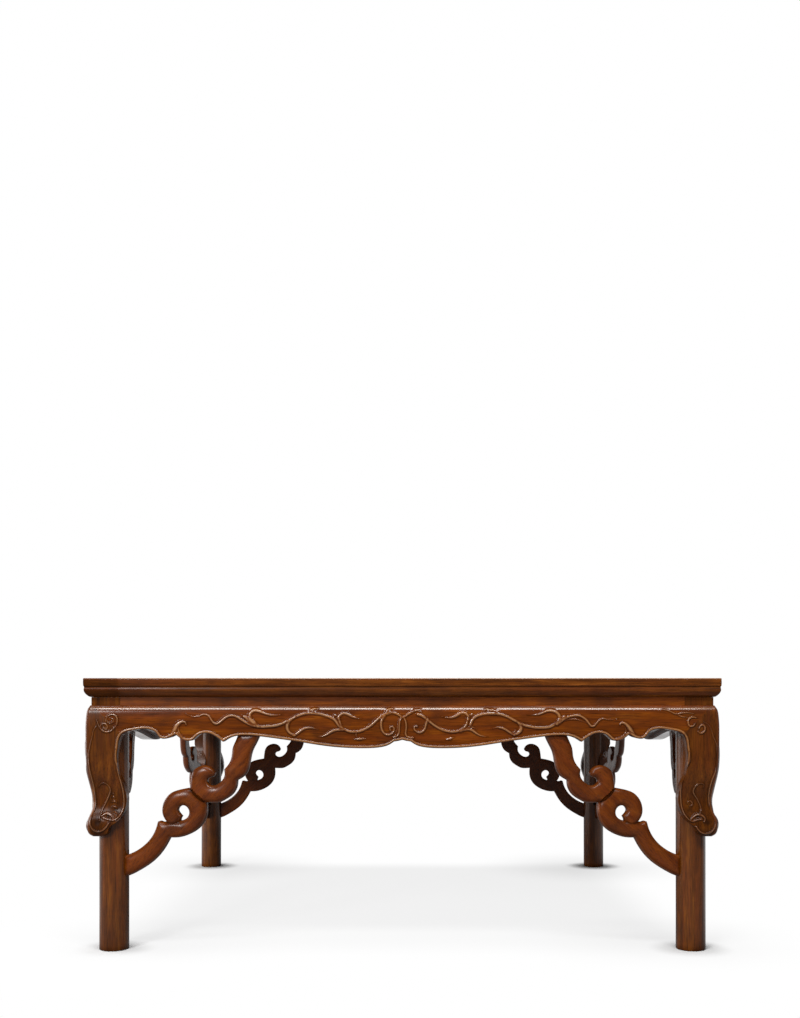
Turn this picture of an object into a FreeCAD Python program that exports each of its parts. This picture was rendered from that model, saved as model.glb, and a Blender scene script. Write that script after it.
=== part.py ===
import FreeCAD, Part
import Sketcher
import math
import os

# Square low table with a waist: mitred frame-and-panel top, cusped aprons, legs with a cabriole
# shell outside a round post, and scroll braces. Millimetres, Z up, front towards -Y, floor at
# Z = 0. Each piece is made once at the front or at the front left leg. The others are mirrored.

V = FreeCAD.Vector
doc = FreeCAD.newDocument("kang_table")

# The driving sizes: alias, millimetres, meaning.
SIZES = [
    ("top_side", 960.0, "side of the square top, edge to edge"),
    ("table_height", 414.4, "floor to top surface"),
    ("frame_thick", 28.4, "thickness of the top frame"),
    ("frame_width", 84.0, "width of a top frame member"),
    ("top_overhang", 37.6, "top edge outside the leg axis"),
    ("edge_band", 12.0, "height of the flat band at the top edge"),
    ("edge_groove", 0.9, "depth of the line cut under the band"),
    ("edge_ease", 1.0, "eased arris of the top edge"),
    ("waist_height", 12.6, "shoulder to underside of the top frame"),
    ("waist_out", 27.6, "waist face outside the leg axis"),
    ("waist_thick", 12.0, "thickness of a waist strip"),
    ("waist_block_in", 16.0, "waist block of the leg, inboard of the axis"),
    ("waist_tongue", 5.0, "tongue of the waist strip, up into the frame"),
    ("waist_tongue_thick", 5.0, "thickness of the waist tongues"),
    ("waist_tongue_in", 3.5, "waist tongues behind the waist face"),
    ("waist_end_tongue", 6.0, "tongue of the waist strip, into the leg"),
    ("face_out", 36.3, "apron and leg face outside the leg axis"),
    ("apron_thick", 22.0, "thickness of an apron"),
    ("apron_depth", 64.5, "shoulder to the lowest point of an apron"),
    ("roll_depth", 36.0, "height of the rounded shoulder"),
    ("lap_thick", 12.3, "layer of the apron that laps over the leg"),
    ("block_in", 20.0, "shoulder block of the leg, inboard of the axis"),
    ("apron_tenon_long", 14.0, "apron tenon into the shoulder block"),
    ("apron_tenon_thick", 6.0, "thickness of the apron tenon"),
    ("apron_tenon_in", 2.0, "apron tenon behind the lapping layer"),
    ("apron_tenon_high", 24.0, "height of the apron tenon"),
    ("apron_tenon_down", 10.0, "top of the apron tenon below the shoulder"),
    ("post_diameter", 45.0, "round leg post"),
    ("post_ease", 1.5, "eased edge round the foot of the post"),
    ("shell_drop", 198.0, "shoulder to the underside of the curled foot"),
    ("shell_back", 10.0, "inner face of the leg shell outside the axis"),
    ("leg_tenon_side", 12.0, "side of the tenons on top of a leg"),
    ("leg_tenon_high", 20.0, "height of the tenons on top of a leg"),
    ("leg_tenon_off", 6.0, "near side of a leg tenon outside the leg axis"),
    ("corner_tenon_wide", 20.0, "width of the stile tenon, into the rail"),
    ("corner_tenon_thick", 9.0, "thickness of the stile tenon"),
    ("corner_tenon_near", 16.0, "stile tenon inboard of the leg axis"),
    ("corner_tenon_up", 6.5, "stile tenon above the underside of the frame"),
    ("corner_tenon_end", 24.0, "end of the stile tenon outside the leg axis"),
    ("panel_thick", 12.0, "thickness of the top boards"),
    ("panel_tongue_thick", 7.0, "thickness of the tongue round the boards"),
    ("panel_tongue", 8.0, "tongue of the boards into the frame"),
    ("panel_gap", 0.6, "room round the boards for the wood to move"),
    ("board_tongue", 5.0, "tongue between two boards"),
    ("board_tongue_thick", 3.0, "thickness of the tongue between boards"),
    ("batten_wide", 28.0, "width of a batten"),
    ("batten_high", 28.0, "height of a batten below the boards"),
    ("batten_spacing", 200.0, "from batten to batten"),
    ("dovetail_high", 3.0, "dovetail ridge of a batten, up into the boards"),
    ("dovetail_root", 14.0, "width of the ridge where it leaves the batten"),
    ("dovetail_top", 18.0, "width of the ridge at its top"),
    ("batten_tenon", 14.0, "batten tenon into the stile"),
    ("batten_tenon_wide", 12.0, "width of the batten tenon"),
    ("batten_tenon_high", 8.0, "height of the batten tenon"),
    ("batten_tenon_up", 3.0, "batten tenon above the underside of the frame"),
    ("brace_thick", 14.5, "thickness of a brace"),
    ("brace_run", 228.0, "leg axis to the far end of a brace"),
    ("brace_head_drop", 49.4, "shoulder to the top end of a brace"),
    ("brace_rise", 210.0, "lowest point of a brace to its top end"),
    ("brace_out_foot", 12.2, "outer face of a brace outside the leg axis, at the axis"),
    ("brace_out_head", 35.0, "outer face of a brace outside the leg axis, at its far end"),
    ("brace_tenon_thick", 8.0, "thickness of the brace tenons"),
    ("foot_tenon_long", 14.0, "foot tenon of a brace inside the post"),
    ("foot_tenon_high", 27.0, "height of the foot tenon"),
    ("foot_tenon_up", 3.0, "foot tenon above the lowest point of a brace"),
    ("foot_mortise_room", 8.0, "open top of the mortise above the foot tenon"),
    ("head_tenon_long", 16.0, "head tenon of a brace inside the apron"),
    ("head_tenon_wide", 18.0, "width of the head tenon"),
    ("head_tenon_back", 8.0, "head tenon short of the far end of the brace"),
    ("fit", 0.15, "clearance round tenons and tongues"),
    ("overrun", 5.0, "how far a cutting solid runs past the wood"),
]

# Places worked out from the sizes, as formulas of the second sheet.
PLACES = [
    ("half_top", "sizes.top_side / 2"),
    ("leg_at", "sizes.top_side / 2 - sizes.top_overhang"),
    ("frame_under", "sizes.table_height - sizes.frame_thick"),
    ("shoulder", "sizes.table_height - sizes.frame_thick - sizes.waist_height"),
    ("opening", "sizes.top_side / 2 - sizes.frame_width"),
    ("panel_half", "sizes.top_side / 2 - sizes.frame_width - sizes.panel_gap"),
    ("panel_under", "sizes.table_height - sizes.panel_thick"),
    ("lap_in", "sizes.face_out - sizes.lap_thick"),
    ("apron_back", "sizes.face_out - sizes.apron_thick"),
    ("waist_half", "sizes.top_side / 2 - sizes.top_overhang - sizes.waist_block_in"),
    ("brace_floor", "sizes.table_height - sizes.frame_thick - sizes.waist_height"
     " - sizes.brace_head_drop - sizes.brace_rise"),
]

# Outlines as shares of the sizes of the piece that carries them.
# Shoulder roll, shared by leg and apron: share of face_out outwards, share of roll_depth down.
roll_shares = [(0.796, 0.0), (0.862, 0.075), (0.918, 0.16), (0.970, 0.40), (1.0, 1.0)]
# Roll under the top edge: share of the way back to the waist, share of the way down.
edge_roll_shares = [(0.06, 0.30), (0.20, 0.58), (0.48, 0.83), (1.0, 1.0)]
# Outer line of the leg shell below the roll: share of face_out outwards, share of shell_drop down.
calf_shares = [(1.0, 0.30), (0.985, 0.41), (0.955, 0.49), (0.879, 0.58), (0.760, 0.69),
               (0.741, 0.735), (0.800, 0.81), (0.920, 0.872), (0.950, 0.92), (0.925, 0.96),
               (0.860, 0.985), (0.760, 1.0)]
# Underside of the curled foot, then the inner line of the shell up to the mitre: share of
# face_out inwards from the leg axis, share of shell_drop down.
foot_shares = [(-0.33, 1.0), (-0.19, 0.989), (-0.052, 0.966), (0.036, 0.9275), (0.218, 0.902),
               (0.391, 0.877), (0.534, 0.8355), (0.66, 0.775)]
shin_shares = [(0.66, 0.775), (0.705, 0.72), (0.634, 0.637), (0.54, 0.586), (0.44, 0.536),
               (0.377, 0.458), (0.364, 0.381), (0.413, 0.304)]

# Lower edge of an apron, from the leg to the middle: share of the distance from leg axis to
# middle, share of apron_depth down. Each list is one smooth stretch between two cusps.
edge_shares = [
    [(0.081, 0.614), (0.1126, 0.555), (0.1465, 0.575), (0.160, 0.625), (0.177, 0.760),
     (0.196, 0.777), (0.2294, 0.680)],
    [(0.2294, 0.680), (0.2554, 0.806), (0.287, 0.806), (0.3045, 0.700), (0.320, 0.657),
     (0.346, 0.662), (0.364, 0.721), (0.390, 0.850)],
    [(0.390, 0.850), (0.4134, 0.757), (0.465, 0.702), (0.538, 0.743), (0.655, 0.859),
     (0.756, 0.961), (0.873, 1.0), (0.925, 0.977), (0.954, 0.921), (0.9715, 0.845)],
    [(0.9715, 0.845), (0.990, 0.823), (1.0, 0.805)],
]

# Scroll brace: share of brace_run from the leg axis, share of brace_rise up from its lowest
# point. Each list is one smooth stretch between two corners, clockwise from the foot.
brace_shares = [
    # upper edge of the lower arm, from the post
    [(0.060, 0.135), (0.124, 0.158), (0.209, 0.213), (0.269, 0.284), (0.300, 0.355),
     (0.309, 0.391)],
    # shoulder of the lower arm
    [(0.309, 0.391), (0.330, 0.397), (0.349, 0.390), (0.367, 0.394)],
    # outside of the lower scroll
    [(0.367, 0.394), (0.344, 0.439), (0.339, 0.474), (0.353, 0.541), (0.397, 0.598),
     (0.457, 0.624), (0.528, 0.639)],
    # outside of the upper scroll, up to the tip of its curl
    [(0.528, 0.639), (0.534, 0.694), (0.550, 0.757), (0.597, 0.796), (0.651, 0.799),
     (0.690, 0.771), (0.703, 0.744)],
    # round the tip and the mouth of the upper scroll
    [(0.703, 0.744), (0.690, 0.722), (0.657, 0.709), (0.648, 0.688), (0.664, 0.663),
     (0.700, 0.659), (0.731, 0.677), (0.764, 0.730), (0.7605, 0.773)],
    # left edge of the upper arm
    [(0.7605, 0.773), (0.797, 0.821), (0.812, 0.870), (0.819, 0.926), (0.840, 0.982),
     (0.862, 1.040)],
    # top end, inside the apron until it is trimmed
    [(0.862, 1.040), (1.010, 1.040)],
    # right edge of the upper arm
    [(1.010, 1.040), (0.985, 0.975), (0.953, 0.905), (0.933, 0.800), (0.902, 0.731),
     (0.8535, 0.696)],
    # underside of the upper scroll
    [(0.8535, 0.696), (0.851, 0.661), (0.817, 0.591), (0.771, 0.556), (0.731, 0.535),
     (0.690, 0.531), (0.645, 0.534)],
    # underside of the lower scroll
    [(0.645, 0.534), (0.6445, 0.450), (0.611, 0.369), (0.538, 0.308), (0.436, 0.277),
     (0.397, 0.277)],
    # lower edge of the lower arm, back to the post
    [(0.397, 0.277), (0.357, 0.201), (0.283, 0.108), (0.175, 0.029), (0.121, 0.0),
     (0.060, -0.020)],
]
# Eye of the lower scroll, in the same shares.
eye_shares = [
    [(0.4655, 0.400), (0.505, 0.418), (0.5235, 0.455), (0.505, 0.501), (0.470, 0.508),
     (0.450, 0.476), (0.458, 0.457), (0.4775, 0.434)],
    [(0.4775, 0.434), (0.470, 0.421), (0.4655, 0.400)],
]


def fill_sheet(name, rows):
    """A spreadsheet with one row a value: its alias, the value or formula and a note."""
    filled = doc.addObject("Spreadsheet::Sheet", name)
    for row, (alias, value, note) in enumerate(rows, start=1):
        filled.set(f"A{row}", alias)
        filled.set(f"B{row}", str(value))
        filled.setAlias(f"B{row}", alias)
        filled.set(f"C{row}", note)
    return filled


sizes = fill_sheet("sizes", SIZES)
places = fill_sheet("places", [(alias, "=" + formula, "") for alias, formula in PLACES])
doc.recompute()


def size(alias):
    return float(sizes.get(alias))


def place(alias):
    return float(places.get(alias))


def block(name, spans):
    """A box between pairs of formulas: low and high X, low and high Y, low and high Z."""
    box = doc.addObject("Part::Box", name)
    for axis, side, (low, high) in zip("xyz", ("Length", "Width", "Height"), spans):
        box.setExpression(f"Placement.Base.{axis}", low)
        box.setExpression(side, f"({high}) - ({low})")
    return box


def grown(spans):
    """The spans of the mortise for a tenon: the tenon's, with room on every side."""
    return [(f"{low} - sizes.fit", f"{high} + sizes.fit") for low, high in spans]


def mirror(name, source, normal, base=V(0, 0, 0)):
    """A mirror image of a piece in the plane with that normal, through base."""
    image = doc.addObject("Part::Mirroring", name)
    image.Source = source
    image.Normal = normal
    image.Base = base
    return image


ACROSS = V(1, 0, 0)
ALONG = V(0, 1, 0)
DIAGONAL = V(1, -1, 0)
corner = V(-place("leg_at"), -place("leg_at"), 0)


def both_ends(name, tool):
    """A tool at the left end of a front piece, and its image at the right end."""
    return [tool, mirror(name + "_right", tool, ACROSS)]


def both_faces(name, tool):
    """A tool for the front face of the front left leg, and its image for the side face."""
    return [tool, mirror(name + "_side", tool, DIAGONAL, corner)]


def join(name, pieces):
    fuse = doc.addObject("Part::MultiFuse", name)
    fuse.Shapes = pieces
    return fuse


def cut(name, wood, tools):
    """The wood less every tool."""
    group = doc.addObject("Part::Compound", name + "_tools")
    group.Links = tools
    result = doc.addObject("Part::Cut", name)
    result.Base = wood
    result.Tool = group
    return result


def overlap(name, first, second):
    common = doc.addObject("Part::Common", name)
    common.Base = first
    common.Tool = second
    return common


def face_of(name, edges):
    """A flat face inside a closed run of edges."""
    flat = doc.addObject("Part::Feature", name)
    flat.Shape = Part.Face(Part.Wire(edges))
    return flat


def prism(name, flat, direction, length):
    """A flat face drawn out along a direction by a length, given as a formula."""
    solid = doc.addObject("Part::Extrusion", name)
    solid.Base = flat
    solid.DirMode = "Custom"
    solid.Dir = direction
    solid.Solid = True
    solid.setExpression("LengthFwd", length)
    return solid


def straight(points):
    """Straight edges from point to point."""
    return [Part.LineSegment(a, b).toShape() for a, b in zip(points, points[1:])]


def smooth(points, upright_ends=()):
    """One smooth edge through the points; upright_ends may name start and end."""
    curve = Part.BSplineCurve()
    curve.interpolate(Points=points)
    if upright_ends:
        first = V(0, 0, -1) if "start" in upright_ends else curve.tangent(curve.FirstParameter)[0]
        last = V(0, 0, -1) if "end" in upright_ends else curve.tangent(curve.LastParameter)[0]
        curve.interpolate(Points=points, InitialTangent=first, FinalTangent=last)
    return curve.toShape()


nodes = []


def keep(piece, label):
    """A finished piece: its label names its file."""
    piece.Label = label
    nodes.append(piece)
    return piece


def keep_images(piece, plain):
    """A front piece, and its images at the back and on the two sides."""
    front = keep(piece, f"{plain}_front")
    keep(mirror(f"{plain}_back", front, ALONG), f"{plain}_back")
    left = keep(mirror(f"{plain}_left", front, DIAGONAL), f"{plain}_left")
    keep(mirror(f"{plain}_right", left, ACROSS), f"{plain}_right")


# Tenons and tongues, as spans. Each mortise and groove is the same spans, grown.
# Into the underside of the front stile, from the front left leg.
leg_tenon_spans = [
    ("-places.leg_at", "-places.leg_at + sizes.leg_tenon_side"),
    ("-places.leg_at - sizes.leg_tenon_off - sizes.leg_tenon_side",
     "-places.leg_at - sizes.leg_tenon_off"),
    ("places.frame_under", "places.frame_under + sizes.leg_tenon_high")]
# Across the left end of the front stile, into the left rail.
corner_tenon_spans = [
    ("-places.leg_at - sizes.corner_tenon_end", "-places.opening"),
    ("-places.leg_at + sizes.corner_tenon_near",
     "-places.leg_at + sizes.corner_tenon_near + sizes.corner_tenon_wide"),
    ("places.frame_under + sizes.corner_tenon_up",
     "places.frame_under + sizes.corner_tenon_up + sizes.corner_tenon_thick")]
# On the front waist strip: up into the stile, and along into the leg.
waist_tongue_deep = ("-places.leg_at - sizes.waist_out + sizes.waist_tongue_in",
                     "-places.leg_at - sizes.waist_out + sizes.waist_tongue_in"
                     " + sizes.waist_tongue_thick")
waist_tongue_spans = [
    ("-places.waist_half", "places.waist_half"), waist_tongue_deep,
    ("places.shoulder", "places.frame_under + sizes.waist_tongue")]
waist_end_spans = [
    ("-places.waist_half - sizes.waist_end_tongue", "-places.waist_half + sizes.overrun"),
    waist_tongue_deep, ("places.shoulder", "places.frame_under")]
# From the left end of the front apron into the shoulder block.
apron_tenon_spans = [
    ("-places.leg_at + sizes.block_in - sizes.apron_tenon_long",
     "-places.leg_at + sizes.block_in + sizes.overrun"),
    ("-places.leg_at - places.lap_in + sizes.apron_tenon_in",
     "-places.leg_at - places.lap_in + sizes.apron_tenon_in + sizes.apron_tenon_thick"),
    ("places.shoulder - sizes.apron_tenon_down - sizes.apron_tenon_high",
     "places.shoulder - sizes.apron_tenon_down")]


def batten_tenon_spans(middle):
    """The front tenon of the batten whose middle is at that X, given as a formula."""
    return [(f"{middle} - sizes.batten_tenon_wide / 2", f"{middle} + sizes.batten_tenon_wide / 2"),
            ("-places.opening - sizes.batten_tenon", "-places.opening + sizes.overrun"),
            ("places.frame_under + sizes.batten_tenon_up",
             "places.frame_under + sizes.batten_tenon_up + sizes.batten_tenon_high")]


BATTENS = [("left", "-sizes.batten_spacing"), ("middle", "0"),
           ("right", "sizes.batten_spacing")]


# Top frame

def member_section():
    """Section of a front member: moulded edge forward, panel groove behind, at the left end."""
    outer = -place("half_top")
    inner = -place("opening")
    top = size("table_height")
    under = place("frame_under")
    waist_face = -place("leg_at") - size("waist_out")
    ease = size("edge_ease")
    line = size("edge_groove")
    band_end = top - size("edge_band")
    roll_top = band_end - 2 * line
    groove_back = inner - size("panel_tongue") - size("panel_gap")
    groove_low = place("panel_under") - size("fit")
    groove_high = place("panel_under") + size("panel_tongue_thick") + size("fit")
    points = [(waist_face, under), (inner, under), (inner, groove_low), (groove_back, groove_low),
              (groove_back, groove_high), (inner, groove_high), (inner, top), (outer + ease, top),
              (outer, top - ease), (outer, band_end), (outer + line, band_end - line),
              (outer, roll_top)]
    points = [V(outer, depth, height) for depth, height in points]
    roll = [V(outer, outer + inward * (waist_face - outer), roll_top - down * (roll_top - under))
            for inward, down in edge_roll_shares]
    return straight(points) + [smooth([points[-1]] + roll, ("start",))]


def frame_member(name):
    """A front member of the top frame, mitred, with the mortises that every member has."""
    bar = prism(name + "_bar", face_of(name + "_section", member_section()), V(1, 0, 0),
                "sizes.top_side")
    past = size("overrun")
    far = -place("half_top") - past
    near = -place("opening") + past
    low = place("frame_under") - past
    waste = face_of(name + "_waste", straight(
        [V(far, far, low), V(near, near, low), V(far, near, low), V(far, far, low)]))
    wedge = prism(name + "_wedge", waste, V(0, 0, 1), "sizes.frame_thick + 2 * sizes.overrun")
    leg_mortise = block(name + "_leg_mortise", grown(leg_tenon_spans))
    groove = block(name + "_groove", grown(waist_tongue_spans))
    tools = both_ends(name + "_wedges", wedge) + both_ends(name + "_legs", leg_mortise)
    return cut(name + "_mitred", bar, tools + [groove])


def make_frame():
    """Two stiles with tenons in front and behind, two rails with mortises on the sides."""
    mitred = frame_member("stile")
    tenons = both_ends("stile_tenons", block("stile_tenon", corner_tenon_spans))
    sockets = [block(f"batten_mortise_{side}", grown(batten_tenon_spans(middle)))
               for side, middle in BATTENS]
    stile = keep(cut("stile_front", join("stile_tenoned", [mitred] + tenons), sockets),
                 "stile_front")
    keep(mirror("stile_back", stile, ALONG), "stile_back")

    rail_blank = mirror("rail_blank", frame_member("rail"), DIAGONAL)
    socket = block("stile_mortise", grown(corner_tenon_spans))
    rail = keep(cut("rail_left", rail_blank,
                    [socket, mirror("stile_mortise_back", socket, ALONG)]), "rail_left")
    keep(mirror("rail_right", rail, ACROSS), "rail_right")


# Boards, battens and waist strips, each a body of pads and pockets

def plane_of(body, role):
    return [plane for plane in body.Origin.OriginFeatures if plane.Role == role][0]


def sketch_on(body, name, role):
    sketch = body.newObject("Sketcher::SketchObject", name)
    sketch.AttachmentSupport = [(plane_of(body, role), "")]
    sketch.MapMode = "FlatFace"
    return sketch


def rectangle(body, name, role, spans, height=None):
    """A rectangle sketch between two pairs of formulas, raised off its plane by a third."""
    sketch = sketch_on(body, name, role)
    square = [V(0, 0, 0), V(1, 0, 0), V(1, 1, 0), V(0, 1, 0)]
    for index, start in enumerate(square):
        sketch.addGeometry(Part.LineSegment(start, square[(index + 1) % 4]))
    for index in range(4):
        sketch.addConstraint(Sketcher.Constraint("Coincident", index, 2, (index + 1) % 4, 1))
        upright = "Vertical" if index % 2 else "Horizontal"
        sketch.addConstraint(Sketcher.Constraint(upright, index))
    sketch.addConstraint(Sketcher.Constraint("Coincident", 0, 1, -1, 1))
    for side, axis, edge, (low, high) in zip(("wide", "high"), "xy", (0, 1), spans):
        index = sketch.addConstraint(
            Sketcher.Constraint(f"Distance{axis.upper()}", edge, 1, edge, 2, 1.0))
        sketch.renameConstraint(index, side)
        sketch.setExpression(f"Constraints.{side}", f"({high}) - ({low})")
        sketch.setExpression(f"AttachmentOffset.Base.{axis}", low)
    if height:
        sketch.setExpression("AttachmentOffset.Base.z", height)
    return sketch


def outline(body, name, role, points):
    """A closed sketch of straight lines through the points, worked out from the sizes."""
    sketch = sketch_on(body, name, role)
    for start, end in zip(points, points[1:] + points[:1]):
        sketch.addGeometry(Part.LineSegment(V(*start, 0), V(*end, 0)))
    for index in range(len(points)):
        sketch.addConstraint(
            Sketcher.Constraint("Coincident", index, 2, (index + 1) % len(points), 1))
    return sketch


def pad(body, name, sketch, length, both_ways=False):
    feature = body.newObject("PartDesign::Pad", name)
    feature.Profile = sketch
    feature.SideType = "Symmetric" if both_ways else "One side"
    feature.setExpression("Length", length)
    return feature


def pocket(body, name, sketch, length):
    """A pocket both ways from its sketch."""
    feature = body.newObject("PartDesign::Pocket", name)
    feature.Profile = sketch
    feature.SideType = "Symmetric"
    feature.setExpression("Length", length)
    return feature


def dovetail(middle, room):
    """Section of the ridge of a batten, or with room of its slot, from corner to corner."""
    foot = place("panel_under")
    half_root = size("dovetail_root") / 2 + room
    half_top = size("dovetail_top") / 2 + room
    crest = foot + size("dovetail_high") + room
    return [(middle - half_root, foot), (middle - half_top, crest), (middle + half_top, crest),
            (middle + half_root, foot)]


def batten_middles():
    return [-size("batten_spacing"), 0.0, size("batten_spacing")]


def make_boards():
    """Three boards side by side: tongue all round, tongue and groove between, dovetail slots."""
    wide = "(2 * places.panel_half / 3)"
    reach = "places.panel_half + sizes.panel_tongue"
    tongue_low = "places.panel_under + (sizes.panel_tongue_thick - sizes.board_tongue_thick) / 2"
    for index, label in enumerate(["board_front", "board_middle", "board_back"]):
        body = doc.addObject("PartDesign::Body", label)
        low = f"-places.panel_half + {index} * {wide}"
        high = f"-places.panel_half + {index + 1} * {wide}"
        across = ("-places.panel_half", "places.panel_half")
        plank = rectangle(body, label + "_plank", "XY_Plane", [across, (low, high)],
                          "places.panel_under")
        pad(body, label + "_pad", plank, "sizes.panel_thick")
        rim_low = f"-({reach})" if index == 0 else low
        rim_high = reach if index == 2 else high
        rim = rectangle(body, label + "_rim", "XY_Plane", [(f"-({reach})", reach), (rim_low, rim_high)],
                        "places.panel_under")
        pad(body, label + "_tongue", rim, "sizes.panel_tongue_thick")
        if index < 2:
            strip = rectangle(body, label + "_strip", "XY_Plane",
                              [across, (high, f"{high} + sizes.board_tongue")], tongue_low)
            pad(body, label + "_joint", strip, "sizes.board_tongue_thick")
        if index > 0:
            slot = rectangle(body, label + "_slot", "XY_Plane",
                             [(f"-({reach}) - sizes.overrun", f"{reach} + sizes.overrun"),
                              (f"{low} - sizes.overrun", f"{low} + sizes.board_tongue + sizes.fit")],
                             "places.panel_under + sizes.panel_tongue_thick / 2")
            pocket(body, label + "_groove", slot, "sizes.board_tongue_thick + 2 * sizes.fit")
        for number, middle in enumerate(batten_middles()):
            section = outline(body, f"{label}_dovetail_{number}", "XZ_Plane",
                              dovetail(middle, size("fit")))
            pocket(body, f"{label}_dovetail_slot_{number}", section, "sizes.top_side")
        keep(body, label)


def make_battens():
    """Three battens across the boards, each with a dovetail ridge and a tenon at each end."""
    for (side, formula), middle in zip(BATTENS, batten_middles()):
        label = f"batten_{side}"
        body = doc.addObject("PartDesign::Body", label)
        half = size("batten_wide") / 2
        under = place("panel_under")
        section = outline(body, label + "_section", "XZ_Plane",
                          [(middle - half, under - size("batten_high")), (middle - half, under)]
                          + dovetail(middle, 0.0)
                          + [(middle + half, under), (middle + half, under - size("batten_high"))])
        pad(body, label + "_bar", section, "2 * places.opening", both_ways=True)
        tenon_x, tenon_y, tenon_z = batten_tenon_spans(formula)
        tenon = rectangle(body, label + "_tenon_section", "XZ_Plane", [tenon_x, tenon_z])
        pad(body, label + "_tenon", tenon, "2 * (places.opening + sizes.batten_tenon)",
            both_ways=True)
        keep(body, label)


def make_waist():
    """Waist strips: tongued up into the frame and at both ends into the legs."""
    body = doc.addObject("PartDesign::Body", "waist_body")
    across = waist_tongue_spans[0]
    face = ("-places.leg_at - sizes.waist_out", "-places.leg_at - sizes.waist_out + sizes.waist_thick")
    ends = ("-places.waist_half - sizes.waist_end_tongue", "places.waist_half + sizes.waist_end_tongue")
    for name, spans, height in [
            ("strip", [across, face], "sizes.waist_height"),
            ("top_tongue", [across, waist_tongue_deep], "sizes.waist_height + sizes.waist_tongue"),
            ("end_tongues", [ends, waist_tongue_deep], "sizes.waist_height")]:
        sketch = rectangle(body, f"waist_{name}_plan", "XY_Plane", spans, "places.shoulder")
        pad(body, f"waist_{name}", sketch, height)
    keep_images(body, "waist")


# Aprons and legs share the shoulder roll and the mitre.

def roll_edge(spot):
    """The rounded shoulder, from the waist down to the upright face."""
    points = [spot(outward * size("face_out"), down * size("roll_depth"))
              for outward, down in roll_shares]
    return smooth(points, ("end",)), points


def mitre_end():
    """Height of the lower end of the mitre, at the inner face of the shoulder block."""
    return place("shoulder") - place("lap_in") - size("block_in")


def edge_stretches(side):
    """The lower edge from the mitre to the middle, as runs of points; side is -1 or 1."""
    front = -place("leg_at") - size("face_out") - size("overrun")

    def spot(inward_share, down_share):
        across = place("leg_at") * (1 - inward_share)
        return V(side * across, front, place("shoulder") - down_share * size("apron_depth"))

    start = V(side * (place("leg_at") - size("block_in")), front, mitre_end())
    runs = [[spot(*pair) for pair in stretch] for stretch in edge_shares]
    runs[0] = [start] + runs[0]
    return runs


def make_aprons():
    """Aprons: mitred over the legs, tenoned into them, mortised for the braces."""
    back = -place("leg_at") - place("apron_back")
    end = -place("leg_at") - place("lap_in")
    low = place("shoulder") - size("apron_depth") - size("overrun")

    def section_spot(outward, down):
        return V(end, -place("leg_at") - outward, place("shoulder") - down)

    roll, roll_points = roll_edge(section_spot)
    section = [roll] + straight([roll_points[-1], section_spot(size("face_out"), place("shoulder") - low),
                                 V(end, back, low), V(end, back, place("shoulder")), roll_points[0]])
    bar = prism("apron_bar", face_of("apron_section", section), V(1, 0, 0),
                "2 * (places.leg_at + places.lap_in)")

    left_runs = edge_stretches(-1)
    right_runs = edge_stretches(1)
    front = left_runs[0][0].y
    left_top = V(end, front, place("shoulder"))
    right_top = V(-end, front, place("shoulder"))
    edges = straight([left_top, left_runs[0][0]]) + [smooth(points) for points in left_runs]
    edges += [smooth(points[::-1]) for points in right_runs[::-1]]
    edges += straight([right_runs[0][0], right_top, left_top])
    board = prism("apron_board", face_of("apron_face", edges), V(0, 1, 0),
                  "sizes.apron_thick + 2 * sizes.overrun")
    blank = overlap("apron_blank", bar, board)

    behind = block("apron_end_waste", [
        ("-places.leg_at - places.lap_in - sizes.overrun", "-places.leg_at + sizes.block_in"),
        ("-places.leg_at - places.lap_in", "-places.leg_at + sizes.overrun"),
        ("places.shoulder - sizes.apron_depth - sizes.overrun", "places.shoulder + sizes.overrun")])
    lapped = cut("apron_lapped", blank, both_ends("apron_end_wastes", behind))
    tenons = both_ends("apron_tenons", block("apron_tenon", apron_tenon_spans))
    head_mortise = brace_tool("head_mortise", grown(head_tenon_spans))
    apron = cut("apron_wood", join("apron_tenoned", [lapped] + tenons),
                both_ends("head_mortises", head_mortise))
    keep_images(apron, "apron")
    return blank


def shell_edges():
    """Outline of the leg seen from the front: shoulder, calf, curled foot and shin."""
    front = -place("leg_at") - size("face_out") - size("overrun")

    def spot(outward, down):
        return V(-place("leg_at") - outward, front, place("shoulder") - down)

    def shares(pairs, side):
        return [spot(side * across * size("face_out"), down * size("shell_drop"))
                for across, down in pairs]

    roll, roll_points = roll_edge(spot)
    calf = shares(calf_shares, 1)
    foot = shares(foot_shares, -1)
    block_foot = V(-place("leg_at") + size("block_in"), front, mitre_end())
    shin = shares(shin_shares, -1) + [block_foot]
    block_top = V(block_foot.x, front, place("shoulder"))
    return ([roll] + straight([roll_points[-1], calf[0]]) + [smooth(calf, ("start",))]
            + straight([calf[-1], foot[0]]) + [smooth(foot), smooth(shin)]
            + straight([block_foot, block_top, roll_points[0]]))


def make_post():
    """The round post, with an eased edge at the floor."""
    centre = [("x", "-places.leg_at"), ("y", "-places.leg_at")]
    post = doc.addObject("Part::Cylinder", "post_shaft")
    post.setExpression("Radius", "sizes.post_diameter / 2")
    post.setExpression("Placement.Base.z", "sizes.post_ease")
    post.setExpression("Height", "places.shoulder - places.lap_in - sizes.block_in - sizes.post_ease")
    ease = doc.addObject("Part::Cone", "post_foot")
    ease.setExpression("Radius1", "sizes.post_diameter / 2 - sizes.post_ease")
    ease.setExpression("Radius2", "sizes.post_diameter / 2")
    ease.setExpression("Height", "sizes.post_ease")
    for axis, formula in centre:
        post.setExpression(f"Placement.Base.{axis}", formula)
        ease.setExpression(f"Placement.Base.{axis}", formula)
    return post, ease


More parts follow.
